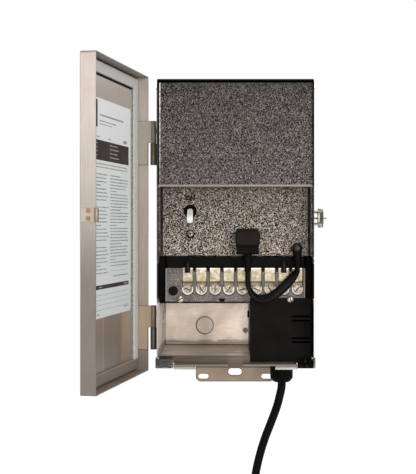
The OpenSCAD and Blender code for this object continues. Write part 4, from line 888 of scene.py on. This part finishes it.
# Breaker
# A push-in block behind the panel with a round black nut in front of it and a white bat
# toggle that hangs down when it is on. A dome screw below holds the panel.
phenolic = rubber("phenolic", (14, 13, 12), 0.35, 500, 0.02)
dress(["breaker_body"], phenolic)
low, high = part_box("breaker_nut")
nut_centre = Vector(((low.x + high.x) / 2, high.y, (low.z + high.z) / 2))
nut_r = (high.x - low.x) / 2
nut_front = low.y - high.y
bore_r = 0.0057
nut_plastic = rubber("nut_plastic", (14, 13, 12), 0.35, gloss=0.04)
profile = [
    (nut_front + 0.0008, bore_r), (nut_front, bore_r + 0.0006), (nut_front, nut_r - 0.0016),
    (nut_front + 0.0012, nut_r - 0.0003), (nut_front + 0.0018, nut_r), (0, nut_r), (0, bore_r),
]


def fluted(rings, centre, line, every, share):
    """Draws every so many points of the rings in towards a line along x (0), y (1) or z (2)."""
    for ring in rings:
        for j in range(0, len(ring), every):
            middle = Vector(centre)
            middle[line] = ring[j][line]
            ring[j] = middle + (ring[j] - middle) * share


rings = turned(profile, nut_centre, 48)
fluted(rings[3:6], nut_centre, line=1, every=2, share=0.96)
corners, faces = skin_of(rings + [rings[0]])
knurled_nut = make("knurled_nut", corners, faces[:-2], nut_plastic, smooth=False)
weld(knurled_nut)
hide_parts("breaker_nut")
toggle_white = rubber("toggle_white", (238, 233, 226), 0.28, 600, 0.4)
dress(["toggle_lever"], toggle_white, 0.0007, 3)


def merged(parts):
    """The corners and faces of several skins as those of one piece."""
    corners, faces = [], []
    for more, skin in parts:
        faces += [tuple(len(corners) + i for i in face) for face in skin]
        corners += more
    return corners, faces


def drive(name, centre, reach, width, depth, turn, arms=1):
    """Painted shade in a screw's drive: thin dark bars sunk across its head."""
    bars = []
    for arm in range(arms):
        a = turn + math.pi / 2 * arm
        u, v = (reach * math.cos(a), reach * math.sin(a)), (-width * math.sin(a), width * math.cos(a))
        outline = [(centre[0] + p * u[0] + q * v[0], centre[2] + p * u[1] + q * v[1])
                   for p, q in rectangle(-1, 1, -1, 1)]
        bars.append(front_slice(outline, centre[1], centre[1] + depth))
    make(name, *merged(bars), dark_ink_and_shade, smooth=False)


def arc(centre, radius, first=0, last=360, steps=32):
    """Points round a circle seen from the front, from one angle in degrees to another."""
    angles = [math.radians(first + (last - first) * k / steps) for k in range(steps + 1)]
    return [centre + Vector((math.cos(a), 0, math.sin(a))) * radius for a in angles]


def bead(name, line, half_wide, half_thick, sides, finish):
    """A thin bead laid along a line, as a piece of its own."""
    make(name, *tube_skin(line, half_wide, half_thick, sides), finish)


dark_ink_and_shade = rubber("dark_ink_and_shade", (20, 17, 15), 0.6, gloss=0.05)
screw_plate = plated("screw_plate", (206, 196, 182), 0.2)
dress(["panel_screw"], screw_plate, 0.0002)
low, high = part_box("panel_screw")
screw_middle = (low + high) / 2
drive("panel_screw_shade_bars", (screw_middle.x, low.y - 0.0001, screw_middle.z),
      reach=0.0022, width=0.0006, depth=0.0009, turn=0.35, arms=2)
# A dark ring round the screw's head and a dark crescent under it are painted shade.
seat = Vector((screw_middle.x, panel_face - 0.0003, screw_middle.z))
seat_r = (high.x - low.x) / 2 + 0.0002
shadow = arc(seat, seat_r + 0.0006, 205, 335, 12)
bead("panel_screw_shade_ring", arc(seat, seat_r), 0.0003, 0.0006, 8, dark_ink_and_shade)
bead("panel_screw_shadow", shadow, 0.0002, 0.0008, 8, dark_ink_and_shade)

on_letters = bpy.data.curves.new("on_mark", "FONT")
on_letters.body = "ON"
on_letters.size = 0.0066
on_letters.offset = 0.0005
on_letters.align_x = "CENTER"
on_letters.extrude = 0.00004
on_mark = bpy.data.objects.new("on_mark", on_letters)
on_mark.location = spot(-53.6, 0, 28.4)
on_mark.location.y = panel_face - 0.00008
on_mark.rotation_euler = (math.radians(90), 0, 0)
on_letters.materials.append(dark_ink_and_shade)
bpy.context.scene.collection.objects.link(on_mark)
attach(on_mark, "box")


# Socket and jumper blades
# The transformer's own outlet, snapped into the panel, and the brass prongs of the plug
# that stands in it.
dress(["receptacle"], rubber("socket_plastic", (20, 18, 17), 0.45, gloss=0.1))
dress(["jumper_blades", "power_blades"], plated("blade_brass", (206, 176, 108), 0.3))


# Terminal block
# A black tray holds a moulded block, with a grey plate screwed over it that leaves each
# clamp an open window. Black pegs of the block stand between the windows' tops.
dress(["terminal_bracket"], rubber("tray_paint", (12, 11, 10), 0.5, 900, 0.02))
dress(["terminal_base"], phenolic, 0.0002)
plate_low, plate_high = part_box("terminal_plate")
plate_plastic, shader, place = new_finish("plate_plastic", (104, 96, 91), 0.0, 0.42, Specular_IOR_Level=0.2)
speckle = noise(place, 520, 4, 0.7)
skin = times(blend(speckle, (0.34, (66, 60, 56)), (0.5, (102, 94, 89)), (0.66, (142, 133, 126))),
             blend(noise(place, 70, 3), (0.35, 0.75), (0.65, 1.25)))
ends = either(between(along(place, "X"), -0.2, plate_low.x + 0.0009),
              between(along(place, "X"), plate_high.x - 0.0009, 0.2))
skin = mix(skin, (176, 166, 156), ends)
# The plate's lowest 1.2 mm is black: a painted shadow gap along its lower edge.
feed(shader, mix(skin, (14, 12, 11), between(along(place, "Z"), 0, plate_low.z + 0.0012)))
roughen(shader, speckle, 0.3, 0.00015)
dress(["terminal_plate"], plate_plastic)
terminal_count = 9
clamp_low, clamp_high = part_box("terminal_clamps")
clamp_w = 0.0118
pitch = (clamp_high.x - clamp_low.x - clamp_w) / (terminal_count - 1)
terminal_xs = [clamp_low.x + clamp_w / 2 + pitch * i for i in range(terminal_count)]
peg_w, peg_h = 0.0026, 0.0042
for i, x in enumerate(terminal_xs[:-1]):
    peg_x = x + pitch / 2
    peg = rounded_box(f"block_peg_{i}", (peg_x - peg_w / 2, plate_low.y - 0.0007, plate_high.z - peg_h),
                      (peg_x + peg_w / 2, plate_low.y + 0.002, plate_high.z + 0.0022), 0.0006, phenolic)


# Clamps and their screws
# Bent brass clamps, nickel plated and stained yellow by chromate towards the screw, under a
# slotted screw and a washer. A white bead along each window's lower edge is a painted highlight, with painted
# shadow under it and round each screw head.
clamp_finish, shader, place = new_finish("clamp_plate", (200, 190, 168), 0.35, 0.36)
# The dark stop just under the yellow band is a painted shadow line at the clamp's step.
band = blend(
    ranged(along(place, "Z"), clamp_low.z, clamp_high.z),
    (0.0, (140, 126, 110)), (0.36, (118, 106, 90)), (0.46, (104, 96, 80)), (0.49, (168, 159, 126)),
    (0.66, (172, 162, 134)), (0.78, (180, 167, 152)), (0.95, (186, 172, 156)), (0.965, (236, 230, 220)),
    (1.0, (240, 234, 226)),
)
patches = noise(place, 190, 4, 0.7)
feed(shader, times(band, blend(patches, (0.34, (180, 171, 144)), (0.5, (234, 230, 220)), (0.62, 1.25))))
roughen(shader, patches, 0.25, 0.00015)
dress(["terminal_clamps"], clamp_finish, 0.0002)

screw_low, screw_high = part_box("terminal_screws")
tongue_z = (screw_low.z + screw_high.z) / 2
washer_r = (screw_high.z - screw_low.z) / 2
head_r = washer_r - 0.0009
head_y = screw_low.y
lug_finish, shader, place = new_finish("lug_plate", (176, 158, 136), 0.4, 0.4)
dimples = noise(place, 480, 3, 0.7)
feed(shader, blend(dimples, (0.36, (92, 78, 64)), (0.5, (150, 133, 113)), (0.64, (196, 182, 164))))
roughen(shader, dimples, 0.4, 0.0002)
dress(["terminal_screws"], lug_finish)
dress(["plate_screws"], screw_plate, edge_finish=plated("screw_rim", (90, 84, 78), 0.4, 0.5))
# The white bead along each window's lower edge is a painted highlight; the dark arc under it and the dark
# ring round each screw head are painted shadow.
window_glint_finish = rubber("window_glint_white", (238, 232, 224), 0.4, 700, 0.3)
painted_shadow_finish = rubber("groove_shadow", (44, 38, 34), 0.6, gloss=0.03)
glint_rise = Vector((0, 0, 0.0030))
glint_thick = 0.0008
for i, x in enumerate(terminal_xs):
    foot = Vector((x, plate_low.y - 0.0001, tongue_z))
    half_ring = arc(foot, washer_r + 0.0002, 180, 360, 16)
    half_ring = [half_ring[0] + glint_rise, *half_ring, half_ring[-1] + glint_rise]
    bead(f"window_glint_{i}", half_ring, glint_thick, glint_thick, 10, window_glint_finish)
    under = arc(foot, washer_r + 0.0014, 215, 325, 16)
    bead(f"window_shadow_{i}", under, 0.0006, 0.0006, 8, painted_shadow_finish)
    head_shade_ring = arc(Vector((x, head_y + 0.0009, tongue_z)), head_r, steps=24)
    bead(f"screw_shade_ring_{i}", head_shade_ring, 0.0004, 0.00045, 6, painted_shadow_finish)
    drive(f"terminal_slot_shade_{i}", (x, head_y - 0.00005, tongue_z),
          reach=head_r - 0.0011, width=0.00045, depth=0.0012, turn=math.radians(-15 - 37 * i))
low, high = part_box("plate_screws")
screw_r = 0.0044
for side, x, y, turn in (("left", low.x + screw_r, plate_low.y - 0.0027, 0.4),
                         ("right", high.x - screw_r, low.y, 1.9)):
    drive(f"plate_screw_shade_bars_{side}", (x, y - 0.00008, (low.z + high.z) / 2),
          reach=0.0036, width=0.0006, depth=0.001, turn=turn)
dress(["hole_plug"], nut_plastic)


# Leads behind the cover
# Sleeved leads run from the block up to the winding, and two show as stubs that turn down
# into their clamps. The mains leads run from the gland to the winding and the earth screw.
lead_rubber = rubber("lead_rubber", (20, 18, 17), 0.35, 1200, 0.1)
base_low, base_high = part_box("terminal_base")
ring_r = (ring_high.x - ring_low.x) / 2
stub_r = 0.0033
stub_l = 0.012
bend_r = 0.004
lead_r = 0.0016
stub_places = (0, 7)
stub_top_z = base_high.z - 2 * stub_r
stub_y = base_low.y - 0.0062


def ring_under(x):
    """Height of the winding's underside over one place across the box."""
    return ring_middle.z - math.sqrt(ring_r ** 2 - x * x) - 0.0003


def wires(name, routes, radius, replaced):
    """Several smooth leads in one piece."""
    skins = [tube_skin(smooth_route(points, steps), radius, radius, 12, guide=(1, 0, 0.01))
             for points, steps in routes]
    piece = make(name, *merged(skins), lead_rubber)
    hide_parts(replaced)


stub_routes = []
lead_routes = []
for i, x in enumerate(terminal_xs):
    if i in stub_places:
        bend = [Vector((x, base_low.y, stub_top_z)), Vector((x, base_low.y - 0.0022, stub_top_z))]
        bend += [Vector((x, stub_y + bend_r * (1 - math.sin(a)), stub_top_z - bend_r * (1 - math.cos(a))))
                 for a in (math.radians(18 * k) for k in range(6))]
        bend += [Vector((x, stub_y, stub_top_z - stub_l * part)) for part in (0.5, 0.8, 1.0)]
        stub_routes.append((bend, 2))
        continue
    x_end = x * 0.45
    climb = ((x, 40, 0), (x, 40, 2), (x, 50, 10), (x, 52, 26), ((x + x_end) / 2, 66, 52))
    points = [Vector((across_x, metres("Y", depth), base_high.z + rise / 1000))
              for across_x, depth, rise in climb]
    points += [Vector((x_end, metres("Y", depth), ring_under(x_end) - drop / 1000))
               for depth, drop in ((90, 18), (94, 6), (94, 0))]
    lead_routes.append((points, 4))
wires("tap_stubs", stub_routes, stub_r, "tap_leads")
wires("tap_leads_up", lead_routes, lead_r, "tap_leads")
neck_low, neck_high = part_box("gland_body")
gland_x = (neck_low.x + neck_high.x) / 2
gland_y = (neck_low.y + neck_high.y) / 2
start = Vector((gland_x, gland_y, neck_high.z))
mains_routes = []
for side in (-0.005, 0.005):
    steps = [(0, 0, 0), (0, 0, 15), (0, 10, 50), (-8, 28, 100), (-22, 42, 150)]
    points = [start + Vector((side, 0, 0)) + Vector(step) / 1000 for step in steps]
    x_end = gland_x + side - 0.028
    points += [Vector((x_end, gland_y + 0.044, ring_under(x_end) - drop)) for drop in (0.008, 0)]
    mains_routes.append((points, 4))
screw_low, screw_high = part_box("ground_screws")
earth = [start + Vector(step) / 1000 for step in ((0, 5, 0), (0, 6, 8), (-5, 20, 16), (-14, 45, 14))]
earth_y = metres("Y", 135.8 - 1.9)
earth += [Vector((screw_high.x + step, earth_y, (screw_low.z + screw_high.z) / 2)) for step in (0.006, 0)]
mains_routes.append((earth, 4))
wires("mains_leads", mains_routes, lead_r, "primary_leads")


# Cover over the mains wiring
# A folded black steel cover with four louvre slots, a small grommet in its side wall, and
# two washered screws on the back wall for the earth leads.
dress(["compartment_cover"], rubber("cover_black", (19, 17, 16), 0.4, 420, 0.02), 0.0004)
dress(["cover_grommet"], mains_rubber, 0.0004)
dress(["ground_screws"], plated("earth_plate", (120, 112, 92), 0.4), 0.0004)


# Cord gland
# A three-piece liquid-tight fitting of black nylon: a threaded neck through the floor, a
# locknut inside and a ribbed cap nut below that squeezes the cord.
gland_nylon = rubber("gland_nylon", (10, 9, 8), 0.42, 900, 0.03)
dress(["gland_body", "gland_locknut"], gland_nylon, 0.0006)
low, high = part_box("gland_nut")
cap_r = (high.x - low.x) / 2
tip_r = 0.0097
taper_h = 0.0053
drop = high.z - low.z
profile = [(0, cap_r - 0.0012), (-0.0008, cap_r), (taper_h - drop, cap_r), (0.5 * taper_h - drop, 0.0122),
           (0.12 * taper_h - drop, tip_r + 0.0006), (-drop, tip_r - 0.0008)]
cap_centre = (gland_x, gland_y, high.z)
rings = turned(profile, cap_centre, 72, upright=True)
fluted(rings[1:4], cap_centre, line=2, every=4, share=0.955)
gland_cap = make("gland_cap", *skin_of(rings), gland_nylon, smooth=False)
soften(gland_cap, 0.0003, 2)
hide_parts("gland_nut")
dress(["coil_tie"], rubber("tie_nylon", (26, 26, 26), 0.4, 400), 0.0004)


# Hinges
# Lift-off hinges of plated steel: leaves riveted to the box carry the pins, and the
# door's leaves drop over them.
def knuckle_shade(place, steel):
    """A door leaf's rolled knuckle is darkened as painted shade, and the lower leaf is tinted warmer."""
    warm = times(steel, (1.0, 0.88, 0.78, 1), block(place, Z=(-far, 0)))
    return times(warm, 0.42, block(place, X=(-99.7, 0)))


leaf_plate = brushed("leaf_plate", (178, 168, 153), "Z", 0.4, 0.4, knuckle_shade)
cut_edge = plated("cut_edge", (66, 58, 50), 0.5, 0.5)
dress(["box_hinge_leaves"], plated("knuckle_plate", (100, 90, 79), 0.4, 0.6), 0.0004, edge_finish=cut_edge)
dress(["door_hinge_leaves"], leaf_plate, 0.0004, edge_finish=cut_edge)
dress(["hinge_pins", "hinge_rivets"], rivet_plate)


# Draw latch
# Stamped and plated: a base riveted to the right wall, a folding lever on a pin and a
# wire bail that hooks over the keeper on the door. A staple takes a padlock.
latch_plate = plated("latch_plate", (120, 114, 106), 0.35, 0.5)
latch_edge = plated("latch_edge", (60, 55, 50), 0.45, 0.5)
dress(["latch_base", "latch_lever"], latch_plate, 0.0004, edge_finish=latch_edge)
dress(["latch_rivets", "latch_pin"], rivet_plate)
dress(["latch_bail"], plated("bail_wire", (112, 108, 102), 0.3, 0.5), 0)


# Door
# A shallow pan folded from the same stainless sheet, brushed up and down, with a foam
# gasket glued round its inside, a bare paper label, and the latch's keeper riveted on.
open_angle = -101.35
swing = Matrix.Rotation(math.radians(open_angle), 3, "Z")
hinge_line = (-97, 17)
pan_inner = -4.3
flange_fold = -164


def on_door(x, depth, z):
    """A place on the shut door in millimetres, as a place in the frame with the door swung open."""
    line = spot(*hinge_line, 0)
    return line + swing @ (spot(x, depth, z) - line)


def outer_face(place):
    """1 on the door's outer face and 0 elsewhere, from how deep it lies once the door is shut."""
    line = tuple(spot(*hinge_line, 0))
    inward = tuple(swing @ Vector((0, 1, 0)))
    from_line = node("VectorMath", {0: place, 1: line}, operation="SUBTRACT").outputs[0]
    deep = node("VectorMath", {0: from_line, 1: inward}, operation="DOT_PRODUCT").outputs["Value"]
    shut_depth = worked("ADD", deep, hinge_line[1] / 1000)
    return between(shut_depth, -0.02, (pan_inner - 0.3) / 1000, sharp)


def door_tones(place, steel):
    """Painted reflection: the free flange runs from bright above to dark below, with a dark top edge; the
    inside is a greyer, softer sweep, paler upwards, with broad painted bands of shade and warm light across
    its lower part; the outer face has only rubbed patches.
    """
    flange = across(place, "Z", (-200, 0.37), (-60, 0.41), (-30, 0.52), (0, 0.71), (50, 0.92),
                    (171.5, 1.0), (172.6, 0.4), (180, 0.4))
    within = across(
        place, "Z", (-200, (196, 190, 185)), (-130, (212, 204, 197)), (-60, (236, 229, 222)),
        (60, (246, 242, 238)), (130, 1.0), (171.5, (250, 251, 252)), (172.6, (150, 150, 150)),
        (180, (150, 150, 150)),
    )
    stripe_tones = across(
        place, "Y", (-200, 0.85), (-101, 0.8), (-99, 1.2), (-97, 0.72), (-60, 0.72), (-38, 0.66),
        (-34, (255, 238, 222)), (-13, (255, 240, 226)), (-8, 0.85), (30, 0.85),
    )
    within = times(within, stripe_tones, block(place, Z=(-200, -98)))
    shown = times(steel, mix(within, flange, block(place, Y=(-300, flange_fold))))
    rubbed = blend(noise(place, 7, 3, 0.6), (0.36, 0.66), (0.62, 0.86))
    return mix(shown, times(steel, rubbed), outer_face(place))


def door_shine(place):
    """The pan's inside is duller than its flange and its outer face."""
    inside = worked("SUBTRACT", block(place, Y=(flange_fold, 40)), outer_face(place))
    return ranged(inside, 0, 1, 0.75, 0.25)


dress(["door_pan"], brushed("door_steel", (196, 184, 174), "Z", 0.36, paint=door_tones, shine=door_shine),
      0.0004)

# The foam is laid round the pan in one strip, mitred at the corners. Its side faces take a darker, greener
# copy of the foam as painted shade, and a black strip under its top run is painted shadow.
foam_w = (14.4, 12)
foam_t = 4
foam_half = (93.1, 170.6)
foam_sag = 0.12
foam_top, shader, place = new_finish("foam_top", (196, 193, 190), 0.0, 0.7, Specular_IOR_Level=0.1)
cells = noise(place, 900, 3, 0.6)
ends = across(place, "Z", (-200, (160, 148, 138)), (-158.5, (160, 148, 138)), (-157.5, 1), (200, 1))
feed(shader, times(blend(cells, (0.35, (178, 176, 172)), (0.65, (212, 209, 206))), ends))
roughen(shader, cells, 0.4, 0.0002)
foam_side_shade, shader, place = new_finish("foam_side_shade", (128, 133, 129), 0.0, 0.8, Specular_IOR_Level=0.05)
cells = noise(place, 500, 3, 0.6)
feed(shader, blend(cells, (0.38, (96, 102, 98)), (0.62, (156, 160, 156))))
roughen(shader, cells, 0.6, 0.0003)
foam_profile = [(0, 0), (0, 0.8), (0.06, 1.0), (0.25, 1.02), (0.75, 1.02), (0.94, 1.0), (1, 0.9),
                (1, 0.5), (1, 0)]
side_steps = (16, 28)
round_pan = rectangle(-1, 1, -1, 1)
foam_rings = []
for side, (x0, z0) in enumerate(round_pan):
    x1, z1 = round_pan[(side + 1) % 4]
    steps = side_steps[side % 2]
    for k in range(steps):
        x, z = x0 + (x1 - x0) * k / steps, z0 + (z1 - z0) * k / steps
        wave = 1 - foam_sag * abs(math.sin(len(foam_rings) * 1.3)) * abs(math.cos(len(foam_rings) * 0.7))
        foam_rings.append([
            on_door(x * (foam_half[0] - inward * foam_w[0]), pan_inner + lift * foam_t * wave,
                    z * (foam_half[1] - inward * foam_w[1]))
            for inward, lift in foam_profile
        ])
count = len(foam_profile)
corners, faces = skin_of(foam_rings + [foam_rings[0]])
total = count * len(foam_rings)
faces = [tuple(i % total for i in face) for face in faces[:-2]]
foam = make("gasket_strip", corners[:total], faces, foam_top, "door", False)
foam.data.materials.append(foam_side_shade)
inner_side = count - 2
for i, face in enumerate(foam.data.polygons):
    face.material_index = 1 if i % count in (0, inner_side) else 0
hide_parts("door_gasket")


def flat_marks(name, boxes, lift, finish):
    """Thin bars printed or laid on the door's inside; boxes are (left, right, low, high) in mm."""
    corners, faces = merged([front_slice(rectangle(*box), pan_inner, pan_inner + lift) for box in boxes])
    make(name, [on_door(*corner) for corner in corners], faces, finish, "door", False)


# The black strip just under the foam's top run is painted shadow.
shadow_strip_show = 2.2
foam_inner_z = foam_half[1] - foam_w[1]
foam_inner_x = foam_half[0] - foam_w[0]
flat_marks("gasket_shadow_strip", [(-foam_inner_x, foam_inner_x, foam_inner_z - shadow_strip_show, foam_inner_z + 1)], 0.25, dark_ink_and_shade)

# The label is bare paper with a generic form on it: a heading band, ruled rows and lines.
label_finish, shader, place = new_finish("label_paper", (226, 227, 226), 0.0, 0.55, Specular_IOR_Level=0.2)
fibres = noise(place, 1400, 4)
# The paper is a little darker towards its bottom.
paler_upwards = across(place, "Z", (-101, (230, 233, 232)), (60, (245, 246, 245)), (134, 1))
feed(shader, times(blend(fibres, (0.3, (222, 224, 224)), (0.7, (240, 241, 240))), paler_upwards))
roughen(shader, fibres, 0.2, 0.00005)
dress(["instruction_label"], label_finish, 0)
ink_dark = rubber("ink_dark", (58, 51, 49), 0.6, gloss=0.1)
ink_grey = rubber("ink_grey", (140, 146, 146), 0.6, gloss=0.1)
ink_pale = rubber("ink_pale", (150, 146, 140), 0.6, gloss=0.1)
label_lift = 0.24
label_edge = 66
word_lengths = (5.2, 8.4, 3.1, 6.6, 9.3, 4.2, 7.1, 2.6)
row_shares = (1, 0.97, 1, 0.93, 0.99, 0.6, 1, 0.96, 1, 0.9, 0.35)
word_gap = 1.1
row_h = 1.25


def ruled_rows(left, right, top, bottom, pitch, row):
    """Rows of short bars that stand for lines of small print, without any letters."""
    bars = []
    z = top
    while z > bottom:
        x = right
        end = right - (right - left) * row_shares[row % len(row_shares)]
        word = row
        while x - word_lengths[word % len(word_lengths)] > end:
            length = word_lengths[word % len(word_lengths)]
            bars.append((x - length, x, z - row_h, z))
            x -= length + word_gap
            word += 1
        z -= pitch
        row += 1
    return bars


bands = [(-label_edge, 71, 67.3, 88.6), (-label_edge, 71, -70.1, -65.7), (45, 60, 102, 131)]
flat_marks("label_band", bands, label_lift, ink_dark)
rows = [(-45, 38, 114.6, 116.4), (-19, 38, 108.8, 109.9), (-4, 38, 105.6, 106.5),
        (38, 48, 91.2, 92.4), (0, 9, 91.2, 92.4), (-58, -46, 91.0, 94.4)]
rows += ruled_rows(-66, 70, 64.0, 58.0, 3.4, 0)
rows += ruled_rows(8, 70, 53.0, -54.0, 3.9, 2)
rows += ruled_rows(-67, 2, 53.0, -46.0, 3.4, 5)
rows += [(-64, 2, -52.2, -51.8), (-64, -8, -58.4, -57.2), (-64, -46, -94.6, -93.2), (40, 47, -97.4, -96)]
flat_marks("label_rows", rows, label_lift, ink_grey)
rules = [(-label_edge, 70, z - 0.45, z) for z in (-76.0, -81.3, -86.6, -91.9)]
flat_marks("label_rules", rules, label_lift, ink_grey)
note_tops = (85.6, 81.4, 77.0, 72.6)
notes = [(-24 - 5 * (k % 2), 3, z - 1.1, z) for k, z in enumerate(note_tops)]
notes += [(44, 50 + 2 * (k % 3), z - 1.1, z) for k, z in enumerate(note_tops)]
notes += [(30, 42, -68.6, -67.2), (-62, -48, -68.6, -67.2)]
flat_marks("label_notes", notes, label_lift + 0.04, ink_pale)


def keeper_tones(place, steel):
    """The keeper is warm beside the flange's edge and grey on its curl."""
    warm, curl = (248, 236, 220), (160, 162, 158)
    return times(steel, across(place, "X", (-160, 0.85), (-152, 0.87), (-146, warm), (-142.5, warm),
                               (-141.5, curl), (-120, curl)))


keeper_steel = brushed("keeper_steel", (196, 184, 174), "Z", 0.36, 0.6, keeper_tones)
keeper_edge = brushed("keeper_edge", (120, 112, 100), "Z", 0.4, 0.5)
dress(["keeper"], keeper_steel, edge_finish=keeper_edge)
keeper_rivet_head = plated("keeper_rivet_head", (150, 122, 100), 0.4, 0.5)
keeper_rivet_rim = plated("keeper_rivet_rim", (70, 44, 28), 0.5, 0.3)
dress(["keeper_rivets"], keeper_rivet_head, 0.0009, 3, keeper_rivet_rim)
